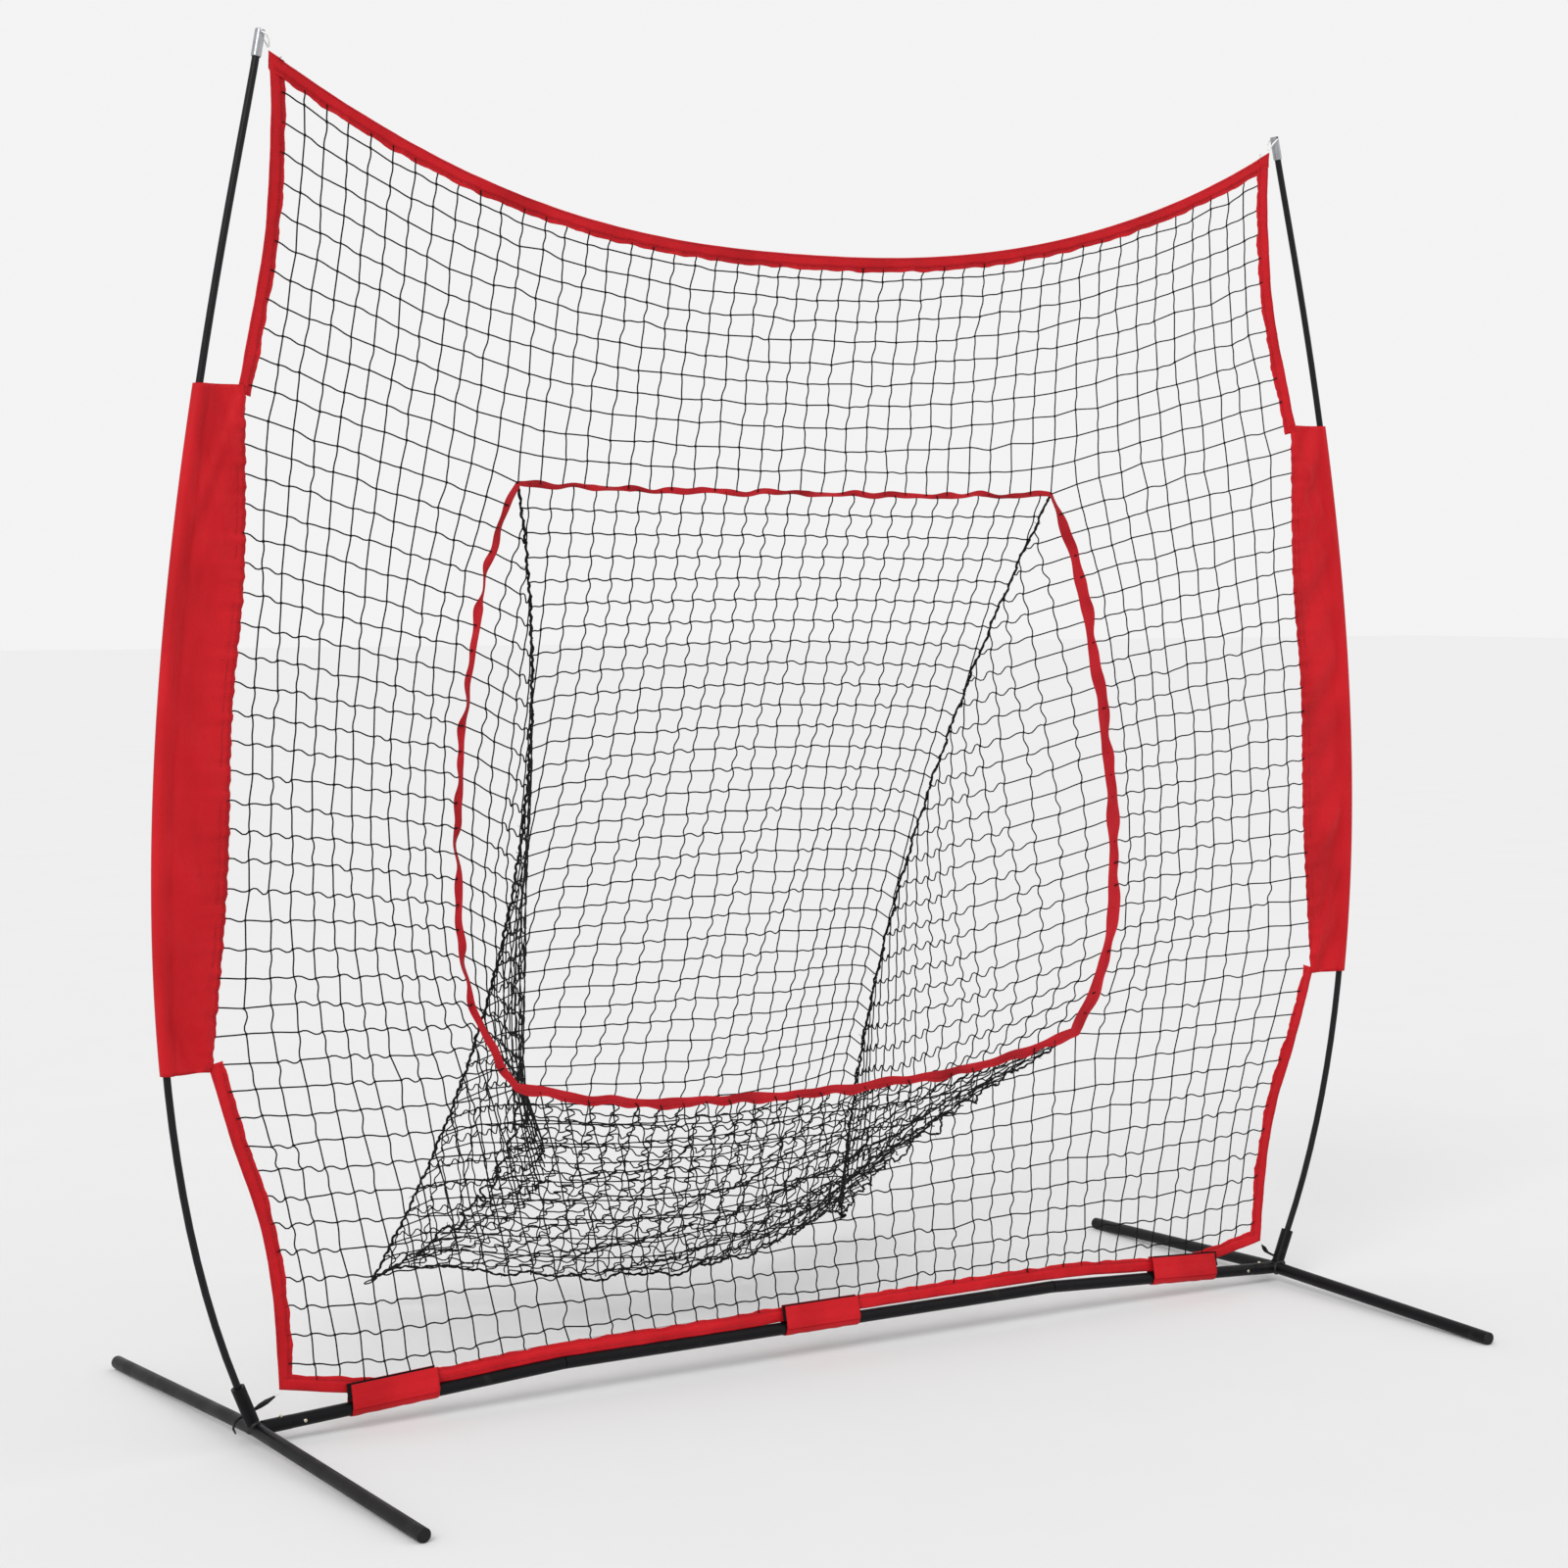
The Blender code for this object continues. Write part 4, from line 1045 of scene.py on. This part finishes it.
def build_sleeve(side, word, thread):
    """A wide nylon sleeve: a tunnel round the pole and a flat web to the netting."""
    low, high = (corner.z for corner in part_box(f"sleeve_{word}"))
    curve, edge = pole_axis(), smooth_curve(SLEEVE_EDGE, 200)[::-1]
    z = np.linspace(low + 0.0005, high - 0.0005, 170)
    axis_x = np.interp(z, curve[:, 1], curve[:, 0])
    inner_x = np.interp(z, edge[:, 1], edge[:, 0]) + 0.0009 * ripple(z, (0.043, 0.019), 80 + side)
    y = NET_Y + bow_forward(z)
    radius, wrap = 0.0100, np.radians(np.linspace(-95, 95, 15))
    tunnel_x = axis_x[:, None] + radius * np.cos(wrap)
    tunnel_y = np.broadcast_to(radius * np.sin(wrap), tunnel_x.shape)
    share = np.linspace(0, 1, 13)[None, 1:]
    reach = inner_x[:, None] - tunnel_x[:, -1:]
    web_x = tunnel_x[:, -1:] + reach * share
    hug = tunnel_y[:, -1:] * np.exp(-(-share * reach / 0.015) ** 1.8)
    stand = hug + 0.0011 + 0.0010 * np.sin(pi * share)
    fold = sleeve_folds(share, z[:, None], low, high, side)
    x = np.hstack([tunnel_x, web_x, web_x[:, ::-1]])
    depth = np.hstack([tunnel_y, stand - 0.8 * fold, (-stand - fold)[:, ::-1]])
    loops = np.stack([side * x, y[:, None] + depth, np.broadcast_to(z[:, None], x.shape)], -1)
    middle = np.stack([side * axis_x, y, z], 1)[:, None]
    lining = loops + unit(middle - loops) * 0.0008 * np.array([1, 1, 0])
    verts, faces = lined_tube(loops, lining)
    piece = add_piece(f"nylon_sleeve_{word}", verts, faces, "nylon", "nylon", stands_for=(f"sleeve_{word}",))
    for share in (0.955, 0.86):
        line = np.stack([side * (axis_x + (inner_x - axis_x) * share), y, z], 1)
        for points in dashes(line, line_length(line) - 0.006, 0.0052):
            add_stitch(thread, points, 0.0022)


def ribbon_lay(base, s, length, waves):
    """The ribbon's twist and width along its run: calmer and wider at the right and low down."""
    right = np.clip((base[:, 0] - 0.50) / 0.06, 0, 1)
    low = np.clip((0.56 - base[:, 2]) / 0.05, 0, 1)
    high = np.clip((base[:, 2] - 1.40) / 0.05, 0, 1)
    calm = np.clip((0.75 - base[:, 2]) / 0.25, 0, 1) * 0.75
    calm = np.maximum(calm, np.clip((base[:, 0] - 0.45) / 0.12, 0, 1) * 0.62)
    twist = radians(55) * np.tanh(ripple(s, [length / k for k in (19, 29, 41)], 103)) * (1 - calm)
    width = 0.0125 * (1 + 0.16 * ripple(s, waves, 104))
    width = width * (1 + 0.60 * right * (1 - high) + 0.32 * low * (1 - right) - 0.18 * high)
    return twist + radians(26) * right * (1 - high), width


def build_ribbon():
    """The narrow twisting ribbon round the opening."""
    mouth_top, mouth_side, mouth_bottom = mouth_lines()
    half = np.vstack([mouth_top, mouth_side[1:], mouth_bottom[::-1][1:]])
    closed = np.vstack([half, mirror(half[-2:0:-1], -1), half[:1]])
    count = 900
    line = even(closed, count + 1)[:-1]
    length = line_length(closed)
    s = np.arange(count) * length / count
    waves = [length / k for k in (31, 47, 23, 67)]
    along = unit(np.roll(line, -1, 0) - np.roll(line, 1, 0))
    across = np.stack([along[:, 1], -along[:, 0]], 1)
    base = on_net(line + across * (0.0022 * ripple(s, waves, 101))[:, None])
    base[:, 1] += 0.0015 * ripple(s, waves[::-1], 102)
    twist, width = ribbon_lay(base, s, length, waves)
    along = unit(np.roll(base, -1, 0) - np.roll(base, 1, 0))
    flat = unit(np.cross(along, np.array([0.0, 1.0, 0.0])))
    lift = np.cross(along, flat)
    broad = flat * np.cos(twist)[:, None] + lift * np.sin(twist)[:, None]
    thin = -flat * np.sin(twist)[:, None] + lift * np.cos(twist)[:, None]
    curl = 0.0010 * ripple(s, waves, 105)
    loops = []
    for a, h in band_section(1.0, 1.0):
        offset = broad * (a * width)[:, None] + thin * (h * 0.0011 + curl * (4 * a * a - 0.5))[:, None]
        loops.append(base + offset)
    verts, faces = loft(np.array(loops).transpose(1, 0, 2), closed_path=True)
    piece = add_piece("nylon_opening_ribbon", verts, faces, "ribbon", "nylon", stands_for=("opening_trim",))


def build_sleeves():
    """Both sleeves and their stitching."""
    thread = Bundle()
    for side, word in SIDES:
        build_sleeve(side, word, thread)
    thread.piece("sleeve_stitching", "thread", "nylon")


# --- Straps -----------------------------------------------------------------------------

def strap_cloth(name, section, ends, finish, body, seed, stands_for=(), thick=0.0013):
    """A band of cloth: a section in y and z swept between two ends, creased and frayed at them."""
    section = even(section, 40)
    start, end = np.array(ends, float)
    length = np.linalg.norm(end - start)
    normal = -rightward(section)
    loops = []
    for t in np.linspace(0, 1, 31):
        crease = 0.0005 * ripple(t * length, (0.031, 0.047), seed) * np.sin(np.linspace(0, pi, 40))
        ragged = 0.0006 * ripple(np.linspace(0, 0.1, 40), (0.013, 0.007), seed + round(t * 10))
        outer = section + normal * (thick / 2 + crease)[:, None]
        inner = section - normal * (thick / 2 - crease)[:, None]
        shift = np.concatenate([ragged, ragged[::-1]]) * (abs(t - 0.5) * 2) ** 8 * np.sign(t - 0.5)
        loops.append(start + (end - start) * t + np.column_stack([shift, np.vstack([outer, inner[::-1]])]))
    verts, faces = loft(loops)
    piece = add_piece(name, verts, faces, finish, "nylon", body, stands_for)


def build_straps():
    """Three hook-and-loop straps: each a wrap round bar and border, and a front flap with its tape."""
    turn = np.radians(np.linspace(4, -184, 27))
    around = 0.0118 * np.stack([np.cos(turn), np.sin(turn)], 1)
    wrap = [(0.0060, 0.0385), (0.0062, 0.0220), *around]
    flap = [(0.0, 0.0004), (0.0002, 0.0030), (0.0010, 0.010), (0.0045, 0.022), (0.0075, 0.0385)]
    tape = [(0.0038, 0.0150), (0.0070, 0.0230), (0.0102, 0.0405)]
    hinge = np.array([0.0, -0.0133, 0.0])
    for word, rise, slip in (("left", 1, -0.0062), ("centre", 0, -0.0045), ("right", -1, 0.0050)):
        low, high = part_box(f"strap_wrap_{word}")
        half = (high.x - low.x) / 2
        middle = np.array([(low.x + high.x) / 2, NET_Y, (low.z + high.z) / 2 - 0.0130])
        ends = middle + np.array([(s * half, 0, s * half * rise * BAR_SLOPE) for s in (-1, 1)])
        body = f"strap_flap_{word}"
        strap_cloth(f"strap_{word}_wrap", wrap, ends, "nylon", "frame", 120, (f"strap_wrap_{word}",))
        strap_cloth(f"strap_{word}_flap", flap, ends + hinge, "nylon", body, 130, (f"strap_flap_{word}",))
        strap_cloth(f"strap_{word}_tape", tape, ends + hinge + (slip, 0, 0), "tape", body, 140, (), 0.0012)


# --- Metalwork --------------------------------------------------------------------------

def weld_bead(bundle, joint, way, along, seed):
    """A rippled fillet where a tube meets the foot: way is the tube's axis, along the foot's."""
    radius, reach = 0.0110, 0.0040
    way, along = unit(way), unit(along)
    e1 = unit(along - way * np.dot(along, way))
    e2 = np.cross(way, e1)
    turn = np.linspace(0, 2 * pi, 72, endpoint=False)
    loops = []
    for grow, lift in ((0.0000, 1.0), (0.0009, 0.72), (0.0021, 0.34), (0.0030, 0.0)):
        r = radius + grow + 0.00035 * np.sin(turn * 22 + seed) * (grow > 0)
        x, y = r * np.cos(turn), r * np.sin(turn)
        t = np.sqrt(np.clip(radius ** 2 - y ** 2, 0, None)) - 0.0004 + lift * reach
        loops.append(joint + way * t[:, None] + e1 * x[:, None] + e2 * y[:, None])
    bundle.add(*loft(loops))


def build_welds():
    """Weld beads round each pole socket and each crossbar stub."""
    for side, word in SIDES:
        bundle = Bundle()
        joint = np.array([side * 1.028, NET_Y, 0.028])
        foot = (side * sin(FOOT_TOE), cos(FOOT_TOE), 0.0)
        weld_bead(bundle, joint, (side * sin(POLE_LEAN), 0.0, cos(POLE_LEAN)), foot, 1.0)
        weld_bead(bundle, joint, (-side, 0.0, BAR_SLOPE), foot, 2.0)
        bundle.piece(f"weld_beads_{word}", "weld", "steel")


def build_springs():
    """Bent leaves under the snap buttons, each with its foot in the tube and its tip under the button; they ride
    on no body.
    """
    for side, word in SIDES:
        low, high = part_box(f"snap_spring_{word}")
        middle = np.array([(low.x + high.x) / 2 + side * 0.0015, (low.y + high.y) / 2, 0.0])
        top, foot = high.z - 0.0003, low.z + 0.0003
        leaf = smooth_curve([(-0.006, top), (0.001, top), (0.009, top - 0.0012), (0.0125, (top + foot) / 2),
                             (0.009, foot + 0.0012), (0.001, foot), (-0.010, foot)], 48)
        loops = []
        for point, across in zip(leaf, -rightward(leaf) * 0.0003):
            corners = [(point + across, -0.0022), (point + across, 0.0022),
                       (point - across, 0.0022), (point - across, -0.0022)]
            loops.append([middle + (-side * p[0], y, p[1]) for p, y in corners])
        verts, faces = loft(loops)
        spring = add_piece(f"snap_leaf_{word}", verts, faces, "spring", "spring", None, (f"snap_spring_{word}",))
        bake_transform(spring)


def paint_cad():
    """Give every carried-over CAD node its finish, by the start of its name."""
    finishes = {
        "coat": ("foot_tube", "crossbar_stub", "crossbar_section", "crossbar_coupler", "pole_socket"),
        "plastic": ("foot_cap", "corner_hook"),
        "fibre": ("pole_lower", "pole_upper"),
        "ferrule": ("pole_ferrule",),
        "aluminium": ("pole_cap",),
        "snap": ("snap_button", "crossbar_rivet"),
        "spring": ("snap_spring",),
        "elastic": ("top_loop", "corner_loop"),
    }
    for name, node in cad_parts.items():
        for finish, starts in finishes.items():
            if name.startswith(starts):
                node.data.materials.clear()
                node.data.materials.append(FINISHES[finish])


FINISHES = {
    "coat": mottled("black_powder_coat", (0.003, 0.003, 0.004), (0.014, 0.013, 0.012), (38, 6),
                    (0.32, 0.50, 22, 5), (0.00012, 0.5, 1400, 2), (0.60, 0.78), Specular_IOR_Level=0.14),
    "weld": mottled("painted_weld", (0.004, 0.004, 0.005), (0.020, 0.019, 0.018), (220, 4),
                    (0.38, 0.60, 160, 4), (0.0006, 0.6, 420, 3), Specular_IOR_Level=0.22),
    "fibre": mottled("glass_fibre_rod", (0.004, 0.004, 0.005), (0.014, 0.014, 0.016), (260, 3, (1, 1, 0.04)),
                     (0.24, 0.42, 60, 4, (1, 1, 0.1)), (0.00008, 0.5, 900, 2, (1, 1, 0.05)),
                     Specular_IOR_Level=0.15),
    "plastic": mottled("black_moulding", (0.004, 0.004, 0.004), (0.014, 0.014, 0.014), (90, 4),
                       (0.42, 0.62, 45, 4), (0.00010, 0.6, 2200, 2), Specular_IOR_Level=0.2),
    "aluminium": mottled("turned_aluminium", (0.26, 0.27, 0.29), (0.46, 0.47, 0.49), (55, 5),
                         (0.22, 0.42, 140, 4), (0.00006, 0.6, 2600, 2, (0.1, 0.1, 1)), Metallic=1.0),
    "ferrule": plated_metal("drawn_ferrule", (0.30, 0.30, 0.31), (0.62, 0.62, 0.63)),
    "snap": plated_metal("snap_plating", (0.42, 0.38, 0.28), (0.80, 0.74, 0.58)),
    "spring": plated_metal("spring_steel", (0.20, 0.20, 0.22), (0.50, 0.50, 0.52)),
    "nylon": red_nylon("red_nylon", (0.40, 0.002, 0.006), (0.51, 0.005, 0.011)),
    "ribbon": red_nylon("red_ribbon", (0.27, 0.003, 0.007), (0.42, 0.006, 0.013), 0.0007),
    "thread": mottled("stitch_thread", (0.10, 0.003, 0.006), (0.24, 0.006, 0.011), (300, 2),
                      (0.5, 0.7, 200, 2), (0.0001, 0.6, 1800, 2)),
    "twine": mottled("black_twine", (0.002, 0.002, 0.002), (0.007, 0.007, 0.008), (60, 4),
                     (0.52, 0.74, 80, 3), (0.0003, 0.8, 1300, 2, (1, 1, 0.5)), Specular_IOR_Level=0.12),
    "cord": bound_cord(),
    "elastic": white_elastic(),
    "tape": hook_and_loop(),
}
KNOT_VERTS, KNOT_FACES = knot_shape()

add_camera()
add_studio()
paint_cad()
build_net()
build_pocket()
build_ribbon()
build_borders()
build_sleeves()
build_straps()
build_welds()
build_springs()
